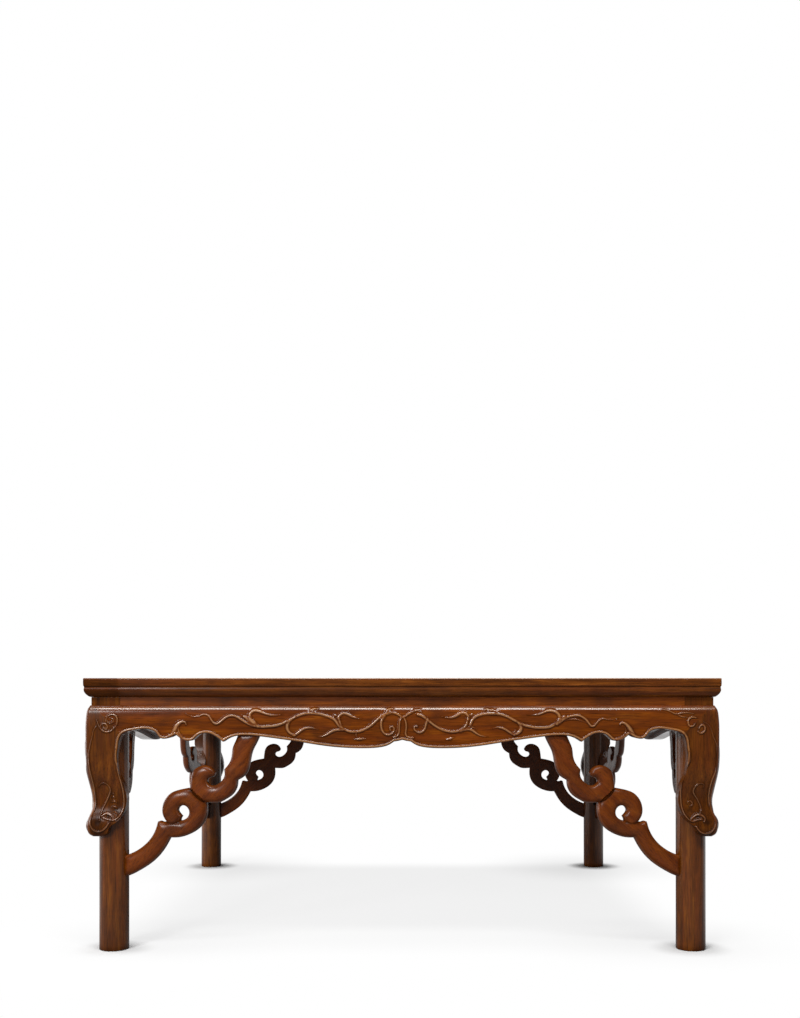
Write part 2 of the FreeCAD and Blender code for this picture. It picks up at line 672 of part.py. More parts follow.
def make_legs(post, ease):
    """Legs: shell seen alike from front and side, round post, waist block and top tenons."""
    front_view = prism("shell_front", face_of("shell_face", shell_edges()), V(0, 1, 0),
                       "sizes.face_out + sizes.post_diameter")
    shell = overlap("shell_square", front_view, mirror("shell_side", front_view, DIAGONAL, corner))
    inner = ("-places.leg_at - sizes.shell_back", "-places.leg_at + sizes.post_diameter")
    hollow = block("shell_hollow", [
        inner, inner, ("places.shoulder - sizes.shell_drop - sizes.overrun",
                       "places.shoulder - places.lap_in - sizes.block_in")])
    hollowed = cut("shell_hollowed", shell, [hollow])
    square = ("-places.leg_at - sizes.waist_out", "-places.leg_at + sizes.waist_block_in")
    waist_block = block("waist_block", [square, square, ("places.shoulder", "places.frame_under")])
    tenons = both_faces("leg_tenons", block("leg_tenon", leg_tenon_spans))

    past = size("overrun")
    front = -place("leg_at") - size("face_out") - past
    left = -place("leg_at") - place("lap_in") - past
    right = -place("leg_at") + size("block_in") + past
    top = place("shoulder") + past
    low = mitre_end() - past
    lap_face = face_of("lap_face", straight(
        [V(left, front, top), V(right, front, low), V(right, front, top), V(left, front, top)]))
    lap = prism("lap", lap_face, V(0, 1, 0), "sizes.lap_thick + sizes.overrun")
    shouldered = cut("shell_shouldered", hollowed, both_faces("laps", lap))
    whole = join("leg_whole", [post, ease, shouldered, waist_block] + tenons)

    foot_x, foot_y, (foot_low, foot_high) = foot_tenon_spans
    tall = [foot_x, foot_y, (foot_low, f"{foot_high} + sizes.foot_mortise_room")]
    tools = (both_faces("foot_mortises", brace_tool("foot_mortise", grown(tall)))
             + both_faces("apron_mortises", block("apron_mortise", grown(apron_tenon_spans)))
             + both_faces("waist_slots", block("waist_slot", grown(waist_end_spans))))
    leg = keep(cut("leg_wood", whole, tools), "leg_front_left")
    keep(mirror("leg_front_right", leg, ACROSS), "leg_front_right")
    back = keep(mirror("leg_back_left", leg, ALONG), "leg_back_left")
    keep(mirror("leg_back_right", back, ACROSS), "leg_back_right")


# Braces lie in an upright plane through the leg that swings outwards to the apron. In their own
# frame, X runs along the brace from the leg axis and Y points inwards, square to the board.

brace_swing = math.degrees(math.atan2(size("brace_out_head") - size("brace_out_foot"), size("brace_run")))
brace_turn = FreeCAD.Placement(corner, FreeCAD.Rotation(V(0, 0, 1), -brace_swing))
brace_middle = "-sizes.brace_out_foot + sizes.brace_thick / 2"
tenon_deep = (f"{brace_middle} - sizes.brace_tenon_thick / 2",
              f"{brace_middle} + sizes.brace_tenon_thick / 2")
foot_tenon_spans = [
    ("sizes.post_diameter / 2 - sizes.foot_tenon_long", "sizes.post_diameter / 2 + sizes.overrun"),
    tenon_deep,
    ("places.brace_floor + sizes.foot_tenon_up",
     "places.brace_floor + sizes.foot_tenon_up + sizes.foot_tenon_high")]
head_tenon_spans = [
    ("sizes.brace_run - sizes.head_tenon_back - sizes.head_tenon_wide",
     "sizes.brace_run - sizes.head_tenon_back"),
    tenon_deep,
    ("places.brace_floor + sizes.brace_rise - sizes.overrun",
     "places.brace_floor + sizes.brace_rise + sizes.head_tenon_long")]


def brace_tool(name, spans):
    """A box in the frame of the brace, turned into place at the front left leg."""
    turned = doc.addObject("Part::Compound", name)
    turned.Links = [block(name + "_box", spans)]
    turned.Placement = brace_turn
    return turned


def brace_edges(stretches):
    """Closed outline in the frame of the brace, on its outer face."""
    edges = []
    for stretch in stretches:
        points = [V(along * size("brace_run"), -size("brace_out_foot"),
                    place("brace_floor") + up * size("brace_rise")) for along, up in stretch]
        edges += straight(points) if len(points) == 2 else [smooth(points)]
    return edges


def make_braces(post, apron_blank):
    """Scroll braces, trimmed to the post and to the edge of the apron, with both tenons."""
    board = prism("brace_board", face_of("brace_face", brace_edges(brace_shares)), V(0, 1, 0),
                  "sizes.brace_thick")
    board.Placement = brace_turn
    eye = prism("brace_eye", face_of("eye_face", brace_edges(eye_shares)), V(0, 1, 0),
                "sizes.brace_thick")
    eye.Placement = brace_turn
    trimmed = cut("brace_trimmed", board, [post, apron_blank, eye])
    brace = join("brace_wood", [trimmed, brace_tool("foot_tenon", foot_tenon_spans),
                                brace_tool("head_tenon", head_tenon_spans)])
    keep(brace, "brace_front_at_left")
    keep(mirror("brace_front_at_right", brace, ACROSS), "brace_front_at_right")
    back = keep(mirror("brace_back_at_left", brace, ALONG), "brace_back_at_left")
    keep(mirror("brace_back_at_right", back, ACROSS), "brace_back_at_right")
    left = keep(mirror("brace_left_at_front", brace, DIAGONAL), "brace_left_at_front")
    keep(mirror("brace_left_at_back", left, ALONG), "brace_left_at_back")
    right = keep(mirror("brace_right_at_front", left, ACROSS), "brace_right_at_front")
    keep(mirror("brace_right_at_back", right, ALONG), "brace_right_at_back")


make_frame()
make_boards()
make_battens()
make_waist()
post_shaft, post_foot = make_post()
apron_outline = make_aprons()
make_legs(post_shaft, post_foot)
make_braces(post_shaft, apron_outline)
doc.recompute()

failed = [thing.Name for thing in doc.Objects
          if any(state in ("Invalid", "Error") for state in thing.State)]
for node in nodes:
    shape = node.Shape
    if shape.isNull() or not shape.isValid() or len(shape.Solids) != 1 or shape.Volume <= 0:
        failed.append(node.Label)
if failed:
    raise RuntimeError("not sound: " + ", ".join(failed))

os.makedirs("parts", exist_ok=True)
for node in nodes:
    solid = node.Shape.Solids[0]
    solid.exportStep(os.path.join("parts", node.Label + ".step"))
    print(f"{node.Label}: {solid.Volume / 1000:.1f} cm3, {len(solid.Faces)} faces")
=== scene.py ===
import math
import bpy
import numpy as np
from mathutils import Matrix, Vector
from mathutils.geometry import delaunay_2d_cdt


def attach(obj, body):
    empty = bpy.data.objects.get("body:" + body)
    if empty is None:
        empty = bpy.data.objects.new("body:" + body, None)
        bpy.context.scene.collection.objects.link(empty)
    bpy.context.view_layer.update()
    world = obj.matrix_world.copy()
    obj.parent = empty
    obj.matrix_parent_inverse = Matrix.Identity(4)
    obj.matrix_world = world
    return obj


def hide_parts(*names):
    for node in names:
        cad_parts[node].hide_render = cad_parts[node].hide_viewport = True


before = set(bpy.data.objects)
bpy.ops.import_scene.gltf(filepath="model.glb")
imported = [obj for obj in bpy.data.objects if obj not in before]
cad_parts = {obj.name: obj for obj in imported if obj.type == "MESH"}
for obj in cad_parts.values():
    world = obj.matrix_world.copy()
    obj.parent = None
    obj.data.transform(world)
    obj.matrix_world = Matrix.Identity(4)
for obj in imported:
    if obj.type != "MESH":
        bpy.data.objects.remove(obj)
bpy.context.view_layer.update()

# Low square table in polished hardwood. Sizes are in millimetres until a mesh is made, which
# puts them in metres. X runs to the right, the front apron is towards -Y and the floor is Z = 0.

MM = 0.001
QUARTER = math.pi / 2
STEP = 0.5              # spacing of the points on an outline
FAR = 99.0              # a distance past which nothing is carved

HALF = 480.0            # middle of the top to its edge
OPENING = 396.0         # middle of the top to the inner edge of the frame
TOP = 414.4             # height of the top
BAND = 12.0             # height of the flat band along the frame's edge
BAND_LOW = TOP - BAND
ARRIS = 1.4             # round of the frame's upper edge
UNDER = 386.0           # underside of the top frame
GROOVE_LOW = 402.2      # groove for the boards: its floor, its roof and its depth
GROOVE_HIGH = 409.6
GROOVE_DEEP = 8.8
BOARD_HALF = 395.4      # middle of the top to the end of the boards
BOARD_THICK = 12.0
BOARD_TONGUE = 8.0      # reach of a tongue
TONGUE_THICK = 7.0
SHOULDER = 373.4        # top of aprons and leg shells
LEG = 442.4             # middle to the leg axis, both ways
FACE = 36.3             # apron and leg face outside the leg axis
WAIST = 27.6            # waist face outside the leg axis
WAIST_IN = 16.0         # waist block of the leg inboard of the axis
LAP_IN = 24.0           # back of the mitred lap outside the leg axis
BLOCK_IN = 20.0         # shoulder block inboard of the axis
MITRE_LOW = SHOULDER - LAP_IN - BLOCK_IN
MITRE_DEEP = SHOULDER - MITRE_LOW
APRON_BACK = 14.3       # back of an apron outside the leg axis
APRON_DEEP = 64.5       # shoulder to the lowest point of an apron
ROLL_DEEP = 36.0        # height of the rounded shoulder
SHELL_DROP = 198.0      # shoulder to the underside of the curled foot
SHELL_BACK = 10.0       # inner face of the leg shell outside the axis
CORNER = 6.0            # round of the shell's outer corner
POST = 22.5             # radius of the post
TENON = 12.0            # thickness of the tenons on top of a leg
SUNK = 0.6              # carved ground below the plain face
PROUD = 1.8             # carved ridges above the ground
FADE = 3.0              # the carved ground has its full depth this far below the shoulder
BEAD = 4.6              # width of the bead along the carved edges
BRACE_RUN = 228.0       # leg axis to the far end of a brace
BRACE_FLOOR = 114.0     # lowest point of a brace
BRACE_RISE = 210.0      # lowest point to the top end of a brace
BRACE_THICK = 14.5
BRACE_OUT = 12.2        # outer face of a brace outside the leg axis, at the axis
BRACE_FAR = 35.0        # the same at its far end
BRACE_SWING = math.atan2(BRACE_FAR - BRACE_OUT, BRACE_RUN)

# Outlines, as in the solids, with the arch beside the leg a little rounder. They are flat rows:
# across, down (on a brace up), across, down and so on, as shares of the sizes above. Where there
# are several rows, each is a smooth stretch that starts at the corner where the last one ended.
ROLL_LINE = (
    0.796, 0, 0.862, 0.075, 0.918, 0.16, 0.97, 0.4, 1, 1)
CALF_LINE = (
    1, 0.3, 0.985, 0.41, 0.955, 0.49, 0.879, 0.58, 0.76, 0.69, 0.741, 0.735, 0.8, 0.81, 0.92,
    0.872, 0.95, 0.92, 0.925, 0.96, 0.86, 0.985, 0.76, 1)
FOOT_LINE = (
    -0.33, 1, -0.19, 0.989, -0.052, 0.966, 0.036, 0.9275, 0.218, 0.902, 0.391, 0.877, 0.534,
    0.8355, 0.66, 0.775)
SHIN_LINE = (
    0.66, 0.775, 0.705, 0.72, 0.634, 0.637, 0.54, 0.586, 0.44, 0.536, 0.377, 0.458, 0.364, 0.381,
    0.413, 0.304)
EDGE_LINE = [
    (0.081, 0.586, 0.1126, 0.553, 0.1465, 0.575, 0.16, 0.625, 0.177, 0.76, 0.196, 0.777, 0.2294,
     0.68),
    (0.2554, 0.806, 0.287, 0.806, 0.3045, 0.7, 0.32, 0.657, 0.346, 0.662, 0.364, 0.721, 0.39, 0.85),
    (0.4134, 0.757, 0.465, 0.702, 0.538, 0.743, 0.655, 0.859, 0.756, 0.961, 0.873, 1, 0.925, 0.977,
     0.954, 0.921, 0.9715, 0.845),
    (0.99, 0.823, 1, 0.805)]
BRACE_LINE = [
    (0.08, 0.141, 0.124, 0.158, 0.209, 0.213, 0.269, 0.284, 0.3, 0.355, 0.309, 0.391),
    (0.33, 0.397, 0.349, 0.39, 0.367, 0.394),
    (0.344, 0.439, 0.339, 0.474, 0.353, 0.541, 0.397, 0.598, 0.457, 0.624, 0.528, 0.639),
    (0.534, 0.694, 0.55, 0.757, 0.597, 0.796, 0.651, 0.799, 0.69, 0.771, 0.703, 0.744),
    (0.69, 0.722, 0.657, 0.709, 0.648, 0.688, 0.664, 0.663, 0.7, 0.659, 0.731, 0.677, 0.764, 0.73,
     0.7605, 0.773),
    (0.797, 0.821, 0.812, 0.87, 0.819, 0.926, 0.84, 0.982, 0.862, 1.04),
    (1.01, 1.04),
    (0.985, 0.975, 0.953, 0.905, 0.933, 0.8, 0.902, 0.731, 0.8535, 0.696),
    (0.851, 0.661, 0.817, 0.591, 0.771, 0.556, 0.731, 0.535, 0.69, 0.531, 0.645, 0.534),
    (0.6445, 0.45, 0.611, 0.369, 0.538, 0.308, 0.436, 0.277, 0.397, 0.277),
    (0.357, 0.201, 0.283, 0.108, 0.175, 0.029, 0.121, 0, 0.08, -0.014),
    (0.08, 0.141)]
EYE_LINE = [
    (0.4655, 0.4, 0.505, 0.418, 0.5235, 0.455, 0.505, 0.501, 0.47, 0.508, 0.45, 0.476, 0.458,
     0.457, 0.4775, 0.434),
    (0.47, 0.421, 0.4655, 0.4)]
# Where one scroll passes over the other, and where the curl meets the arm below it.
BRACE_CREASES = [
    (0.531, 0.64, 0.548, 0.612, 0.574, 0.582, 0.608, 0.553, 0.64, 0.536),
    (0.362, 0.392, 0.39, 0.383, 0.42, 0.379, 0.45, 0.388, 0.464, 0.4)]

MEETING = (-0.66, -0.75)    # direction of the outline where leg and apron meet

# Carved lines. Each row has its width at the start, the middle and the end, then its points. On
# an apron: distance from the middle, depth below the shoulder. The vine grows from the middle to
# both ends, and its two halves, cut by eye, differ a little.
VINE_LEFT = [
    (3.6, 8.5, 2.6, 353.4, 46, 345.9, 42.2, 342.2, 36.3, 339.5, 30.6, 335.4, 26.3, 330.5, 24.4,
     325.8, 26.3, 325.3, 29.1),
    (3.4, 3, 1.6, 331.3, 46.5, 334.8, 42.7, 336.6, 37.7, 336.8, 32.9),
    (1.2, 4.6, 4.6, 326.8, 12.4, 320.6, 15.1, 313.8, 17, 307, 15.9, 298.8, 13.6, 293, 14.6, 288.7,
     19.2, 285.1, 24.7, 280.7, 27.7, 276.6, 26.6, 271.4, 22.6, 266, 18, 259.1, 15.5, 250.9, 16.3,
     244.1, 20, 238.6, 23.6, 230.4, 28.2, 222.2, 31.5),
    (6, 9.5, 5, 216.8, 31.8, 227.7, 23.6, 234.5, 18.5, 238.6, 16.5),
    (6.5, 5.6, 0.8, 222.2, 26, 228.4, 19.9, 229.4, 13.1, 223.6, 8, 215.4, 8.6, 205.8, 12.4, 196.3,
     14.7, 188.1, 14.8, 179.6, 13.6),
    (5.6, 5.2, 5.2, 222.2, 30.7, 212.7, 32.1, 201.8, 31.5, 192.2, 30.7, 182.6, 28, 174.4, 24.1,
     166.2, 20, 156.7, 15.4, 147.1, 12.4, 136.2, 11.7, 125.2, 12.7, 115.7, 15.1, 107.5, 18.1,
     100.6, 23.3, 95.2, 30.8, 89.7, 35.9),
    (4.4, 4.8, 5.4, 96.5, 17.8, 94.5, 24, 92.2, 30.8, 86.7, 36.3, 78.8, 39.3, 70.6, 39.8, 62.4,
     38.3, 54.2, 34.5, 46, 29.1, 39.1, 22.6, 32.3, 16.8, 24.1, 12.7, 18, 11),
    (5, 5.4, 0.8, 96.5, 19.9, 94.5, 15.4, 88.3, 12.1, 82.2, 13.2, 75.3, 16.9, 68.5, 18.9, 61, 19.3),
    (1.6, 4, 1.6, 104.2, 17.3, 101.2, 14.8, 97.6, 16.2),
    (4, 6.5, 4, 161.4, 16.8, 169, 22.6, 173.1, 30.1, 172.2, 37.3, 167.6, 42.4, 161.4, 45.2),
    (5.2, 4.8, 0.8, 163.5, 45.2, 156.7, 41.1, 149.8, 35.9, 141.6, 33.7, 133.4, 34.4, 125.8, 36.6),
    (4.2, 5.2, 0.8, 88.3, 37, 96.5, 36.7, 103.4, 38.1, 110.2, 41.6, 117, 45.4, 127.7, 47.2),
    (1, 5, 1, 73, 50.8, 63.7, 50.5, 54.7, 50),
    (3, 2.6, 1.6, 69.5, 40.8, 69.7, 43.8, 68.9, 47.6),
    (5.6, 4, 3, 26.8, 15.4, 31.2, 22.6, 32, 30.8, 29.6, 39, 24.1, 43.8, 18, 43.5, 13.2, 39, 12.5,
     34.2, 15.9, 31.9, 18.9, 33.6, 18.1, 37.3),
    (3.2, 4.6, 3.4, 24.8, 8.6, 18, 10.5, 11.5, 11.3, 5, 14.6, 0, 17.8),
    (3.4, 3.8, 3.4, 0.6, 18.4, 3.2, 21.3, 4.3, 26, 4.8, 31.5, 4.8, 37, 5.6, 42.4, 8.5, 46.3, 13.5,
     47.8),
    (1.2, 2.4, 1.2, 6.3, 24.4, 7.2, 31.5, 8.3, 37.7, 11.5, 42.7),
    (1.4, 3.8, 1.6, 144.9, 9.9, 138.6, 7.7, 132.6, 5, 126, 5.7),
    (1.4, 3.4, 1.6, 139.4, 4.7, 134.8, 8, 127.7, 10.2),
    (1.4, 3.8, 1.6, 27.9, 9.9, 22.7, 7.2, 17.8, 5, 12.9, 6.1),
    (1.4, 3.2, 1.6, 24.9, 4.7, 20.3, 8, 13.7, 9.9)]
VINE_RIGHT = [
    (3.6, 8, 2.6, 356.9, 47.9, 350.3, 46.5, 345.7, 41.1, 341.6, 34.5, 337.2, 29.1, 332.6, 26.2,
     328.5, 27.1, 327.1, 29.6),
    (3.4, 3, 1.6, 321.6, 50.1, 328.5, 48, 333.9, 43.8, 336.1, 38.6, 335.3, 34),
    (4.6, 4.4, 1.2, 236.3, 26.3, 242.4, 21.4, 249.2, 17.3, 257.4, 15.4, 265.6, 15.3, 272.4, 18.5,
     277.9, 23.4, 282.5, 29.5, 286.1, 31.6, 290.2, 28.8, 295.7, 22.8, 301.1, 20, 308, 21, 314.8,
     21.3, 320.3, 20.3, 325.2, 19.5),
    (1.4, 2.4, 1.2, 242.6, 23.6, 250.6, 21.3, 260.1, 20.9, 269.1, 23, 276.8, 26.3),
    (5, 8.5, 6, 244.3, 16.8, 238.5, 22.2, 232.8, 28.2),
    (6.5, 5.6, 0.8, 231.4, 27.7, 235.3, 22.6, 236.3, 16.5, 232.8, 11, 226, 8.1, 218.4, 8.1, 210.9,
     11.2, 204.1, 13.7, 195.9, 14.4, 188, 14.4),
    (5.2, 5.2, 5.6, 101.9, 29.5, 104.3, 23.6, 108.2, 18.5, 114.2, 15.1, 123.5, 12.8, 133, 12.1,
     142.6, 12.5, 152.2, 14.6, 161.7, 18.7, 172.7, 24.7, 182.2, 29.3, 191.8, 31.8, 201.4, 33.3,
     212.3, 33.4, 221.9, 32.1, 228.7, 28.8, 236.9, 24.7),
    (5.4, 4.8, 4.4, 23.2, 13.2, 30, 15.9, 37.4, 21.4, 45.6, 28.1, 54.1, 33.7, 63.4, 37.7, 72.9,
     39.6, 81.4, 39.2, 89.9, 35.6, 95.1, 31, 97.2, 25.4, 98.1, 19.9),
    (5, 5.4, 0.8, 99.2, 21.3, 98.3, 15.1, 92, 10.9, 85.9, 12.4, 79.1, 16.8, 71.5, 18.5, 58.7, 16.8),
    (1.6, 4, 1.6, 101.9, 16.2, 104.9, 13.5, 107.4, 14),
    (4, 7.5, 4, 173.5, 25.5, 178.1, 32.3, 177, 38.1, 172.7, 42.4, 167.8, 44.6),
    (1.6, 3, 1.6, 165, 41.6, 168.8, 40, 170.8, 35.9),
    (4.8, 4.6, 0.8, 168, 44.4, 160.4, 39.7, 153, 35.2, 145.6, 33.3, 139.3, 33.4, 134.1, 35.6),
    (4.2, 5.2, 0.8, 87.1, 39.2, 94.8, 36.4, 102.3, 36.4, 109.8, 40.8, 117.3, 45.2, 128.4, 47.5),
    (2.4, 3, 1, 95.9, 34.5, 102.2, 32.5, 111.5, 35.6),
    (1, 4.5, 1, 64.7, 51.6, 71, 50.4, 77.8, 48.2),
    (1, 3, 1, 72.4, 46.8, 71.3, 49.8, 73.2, 52.8),
    (5.6, 4, 3, 37.7, 21.3, 35.5, 28.1, 33.6, 34.9, 29.9, 39.7, 25.1, 40.8, 20.7, 39, 17.7, 35.3,
     18.3, 32.1, 22.4, 31.8),
    (3.2, 4.6, 3.4, 24.5, 6.6, 19.6, 7.7, 13.6, 10.5, 7.6, 13.7, 3, 17, 0, 17.8),
    (3.4, 3.8, 3.4, 1.9, 17.8, 4.6, 23.3, 5.7, 30.1, 5.4, 37, 4.9, 42.4, 6.6, 46.5, 12.8, 48.5,
     16.3, 48.7),
    (1.4, 3.8, 1.6, 14.2, 11, 21, 7.3, 28.6, 6.2),
    (1.4, 3.2, 1.6, 18, 5.3, 23.7, 8.3, 29.2, 9.4),
    (1.4, 3.8, 1.6, 120.5, 9.1, 127.6, 5.8, 134.7, 8, 141.5, 6.4),
    (1.4, 3.4, 1.6, 127.6, 9.4, 136, 6.9, 140.1, 11),
    (1.4, 3.2, 1.6, 134.4, 4.7, 141.2, 8.8, 147.3, 8)]
# Curls over the mitre and lines of a leg: distance outside the axis, depth below the shoulder,
# at the left end of an apron and at its right end.
MITRE_LEFT = [
    (2, 3.4, 2.4, 3.5, 24.6, 2.2, 18.6, -2.5, 14.3, -8.5, 13.9, -12.9, 18.3, -13.4, 25.3, -10.9,
     31.6, -7.2, 36.3),
    (2.4, 2.6, 1.6, 0.5, 24.6, -1.5, 26.6, -5.2, 26.3, -7.9, 23.3, -6.5, 19.9, -3.9, 19.3),
    (1.6, 3.2, 2.4, 17.2, 22.9, 14.5, 30, 10.2, 36.6, 2.8, 40, -5.2, 37.3, -8.9, 33.3),
    (1.6, 3, 2.4, 11.2, 35.6, 11.2, 30.3, 7.2, 27.3, 2.2, 29.6, 1.5, 34.3, 5.2, 36, 7.2, 33.3)]
LEG_LEFT = [
    (1.6, 3.2, 3.6, 17.2, 30.6, 21.2, 35.6, 23.5, 43.7, 26.5, 57, 29.2, 70.4, 29.7, 83.7, 28.2,
     97.1, 25.5, 110.5, 23.2, 123.8, 22.4, 135.5, 21.9, 147.2, 23.5, 157.2, 26.5, 164.7, 27.9,
     173.1, 26.5, 182.3, 21.5, 188.6, 14.8, 190.3, 7.5, 187.3, 2.5, 182, -0.2, 177.6),
    (2.8, 3.6, 3.2, -11.5, 67, -11.5, 78.7, -12.9, 92.1, -15.4, 103.8, -18.2, 115.5, -20.4, 127.2,
     -21.6, 138.9, -21.6, 150.6, -19.2, 160.6, -14.5, 168.1, -7.9, 172.6, 0.5, 171.9, 8.8, 169.3),
    (1.4, 3.2, 2, 15.9, 123.2, 12.8, 118.5, 7.8, 117.1, 1.5, 120.5, -1.5, 127.5, 1.2, 136.9, 5.5,
     146.4, 10.5, 156.9, 13.5, 166.4, 14.2, 174.3),
    (2.4, 5.2, 2.2, 11.2, 167.6, 6.8, 163.6, 1.5, 162.9, -3.2, 165.9, -7.5, 171.3),
    (1.2, 3, 1, -2.9, 146.4, -7.2, 144.9, -11.5, 148.5),
    (1.2, 3, 1, -3.2, 154.2, -7.9, 153.2, -11.5, 156.9),
    (1.2, 3.2, 1, -4.5, 160.9, -8.5, 160.9, -12.2, 164.9),
    (1, 2.6, 1, -3.2, 139.5, -6.2, 138.2, -8.9, 140.5),
    (1, 2.4, 1, -3.9, 133.8, -5.9, 133.2, -7.5, 134.2)]
MITRE_RIGHT = [
    (1.6, 3.2, 1.6, -50.2, 6.1, -40.1, 8.6, -30.1, 12.8, -20.1, 11.3, -3.4, 12.6),
    (1.4, 2.8, 1.4, -29.4, 13.3, -21.4, 16.9, -13.1, 17.9),
    (2.6, 4.2, 3, -0.4, 18.6, -6.7, 17.6, -11.7, 20.6, -12.9, 26.1, -10.7, 30.6, -5.9, 31.3, -2.6,
     28),
    (2.6, 4, 2.8, 3.3, 35.6, 5.3, 31.3, 10, 29.6, 12.6, 34.3, 10.6, 40, 6, 42, 2.6, 39.3)]
LEG_RIGHT = [
    (1.6, 3.2, 3.6, 11.3, 25.3, 18.3, 29.6, 22.7, 38.6, 25.8, 48.7, 30, 58.7, 31, 70.4, 31, 85.4,
     28.7, 98.8, 24.3, 112.1, 21.3, 125.5, 20.2, 137.2, 21, 147.2, 24.3, 157.2, 28, 166.4, 29.3,
     175.6, 27, 184.8, 21.3, 191.6, 13.6, 193.3, 6, 190.3, -0.1, 182.6),
    (2.8, 3.6, 3.2, -11.4, 70.4, -12.4, 82.1, -15.4, 93.8, -19.4, 107.1, -22.1, 120.5, -22.4,
     132.2, -21.8, 142.2, -20.8, 152.2, -17.8, 162.2, -12.6, 170.3, -6.4, 174.6, 0.6, 172.9, 9,
     171.4),
    (1.4, 3.2, 2, 12, 124.2, 12.3, 119.5, 6.6, 117.5, 0.3, 121.8, -3.4, 129.8, 1.3, 138.9, 6,
     147.5, 8.6, 157.2, 7, 163.9),
    (1.2, 3, 1.2, -11.7, 148.5, -8.7, 144.5, -4.4, 147.2, -5.4, 151.9, -8.7, 152.2),
    (2.4, 5.2, 2.2, -8.1, 172.9, -3.4, 167.6, 3.3, 164.7, 10, 166.3, 13.6, 171.3, 12, 175.9)]
# Hollows of the curled foot: place as above, radius, depth.
FOOT_HOLLOWS = [
    (17.5, 176.5, 6, 0.8),
    (2, 167.6, 2.2, 0.9),
    (-9, 158, 5, 0.5)]


# Curves and distances

def pairs(flat, scale=(1.0, 1.0)):
    """Points from a flat row of numbers, times a scale."""
    return np.reshape(flat, (-1, 2)) * scale


def stretches(rows):
    """Points of every stretch of an outline, each with the end of the one before it put first."""
    runs = [pairs(row) for row in rows]
    return runs[:1] + [np.concatenate([last[-1:], run]) for last, run in zip(runs, runs[1:])]


def carved(rows, shift=0.0):
    """Carved lines as three widths and points, moved sideways."""
    return [(row[:3], pairs(row[3:]) + (shift, 0.0)) for row in rows]


def smooth_line(points, step, start=None, end=None):
    """Cubic spline through the points over chord length, sampled every step. Its ends are free,
    or run along a given direction."""
    points = np.asarray(points, float)
    chord = np.linalg.norm(np.diff(points, axis=0), axis=1)
    knots = np.concatenate([[0.0], np.cumsum(chord)])
    slope = np.diff(points, axis=0) / chord[:, None]
    count = len(points)
    system = np.zeros((count, count))
    right = np.zeros((count, 2))
    inner = np.arange(1, count - 1)
    system[inner, inner - 1] = chord[:-1]
    system[inner, inner] = 2 * (chord[:-1] + chord[1:])
    system[inner, inner + 1] = chord[1:]
    right[inner] = 6 * (slope[1:] - slope[:-1])
    system[0, 0] = system[-1, -1] = 1.0
    if start is not None:
        system[0, :2] = 2 * chord[0], chord[0]
        right[0] = 6 * (slope[0] - np.asarray(start, float))
    if end is not None:
        system[-1, -2:] = chord[-1], 2 * chord[-1]
        right[-1] = 6 * (np.asarray(end, float) - slope[-1])
    bend = np.linalg.solve(system, right)
    at = np.linspace(0.0, knots[-1], max(2, math.ceil(knots[-1] / step) + 1))
    span = np.clip(np.searchsorted(knots, at, side="right") - 1, 0, count - 2)
    wide = chord[span][:, None]
    low = (knots[span + 1] - at)[:, None] / wide
    high = 1.0 - low
    curve = (low ** 3 - low) * bend[span] + (high ** 3 - high) * bend[span + 1]
    return low * points[span] + high * points[span + 1] + curve * wide ** 2 / 6


def nearest(spots, line):
    """Distance from every spot to a polyline, and how far along it the nearest point lies."""
    best = np.full(len(spots), np.inf)
    where = np.zeros(len(spots))
    steps = np.diff(line, axis=0)
    lengths = np.linalg.norm(steps, axis=1)
    passed = 0.0
    for start, step, length in zip(line[:-1], steps, lengths):
        along = np.clip((spots - start) @ step / length ** 2, 0.0, 1.0)
        gap = np.linalg.norm(spots - start - along[:, None] * step, axis=1)
        closer = gap < best
        best[closer] = gap[closer]
        where[closer] = passed + along[closer] * length
        passed += length
    return best, where / passed


def rim_gap(across, down, rim, first):
    """Distance of every spot to a carved edge, and far for those above a first depth."""
    gap = np.full(across.shape, FAR)
    close = down > first
    gap[close] = nearest(np.stack([across[close], down[close]], axis=1), rim)[0]
    return gap


def relief(across, down, gap, carving):
    """Height of the carving at every spot, 0 to 1, and its value for worn places and painted light.

    A carved line is a half-round ridge, and a bead of the same section runs along the edge.
    The height is the root of one less the squared share of the half width, less for a ridge
    under 4 mm wide. The value is the cube of that root, which pales the crests as worn high points
    and as a painted highlight, less 0.8 times an exponential that falls off in 0.7 mm from the
    foot of every ridge, where old wax stays and shade is painted."""
    spots = np.stack([across.ravel(), down.ravel()], axis=1)
    aside = np.abs(gap.ravel() - BEAD / 2)
    height = np.sqrt(np.clip(1.0 - (aside / (BEAD / 2)) ** 2, 0.0, 1.0))
    crest = height.copy()
    foot = np.abs(aside - BEAD / 2)
    for widths, points in carving:
        line = smooth_line(points, 1.5)
        reach = max(widths) / 2 + 4.0
        low, high = line.min(axis=0) - reach, line.max(axis=0) + reach
        near = np.flatnonzero(np.all((spots > low) & (spots < high), axis=1))
        apart, where = nearest(spots[near], line)
        half = np.interp(where, (0.0, 0.5, 1.0), np.array(widths) / 2)
        ridge = np.sqrt(np.clip(1.0 - (apart / half) ** 2, 0.0, 1.0))
        height[near] = np.maximum(height[near], ridge * np.minimum(1.0, half / 2.0))
        crest[near] = np.maximum(crest[near], ridge)
        foot[near] = np.minimum(foot[near], np.abs(apart - half))
    # Crests paler as worn and as a painted highlight, feet of the ridges darker as old wax and as
    # painted shade.
    wear = crest ** 3 - 0.8 * np.exp(-foot / 0.7)
    return height.reshape(across.shape), wear.reshape(across.shape)
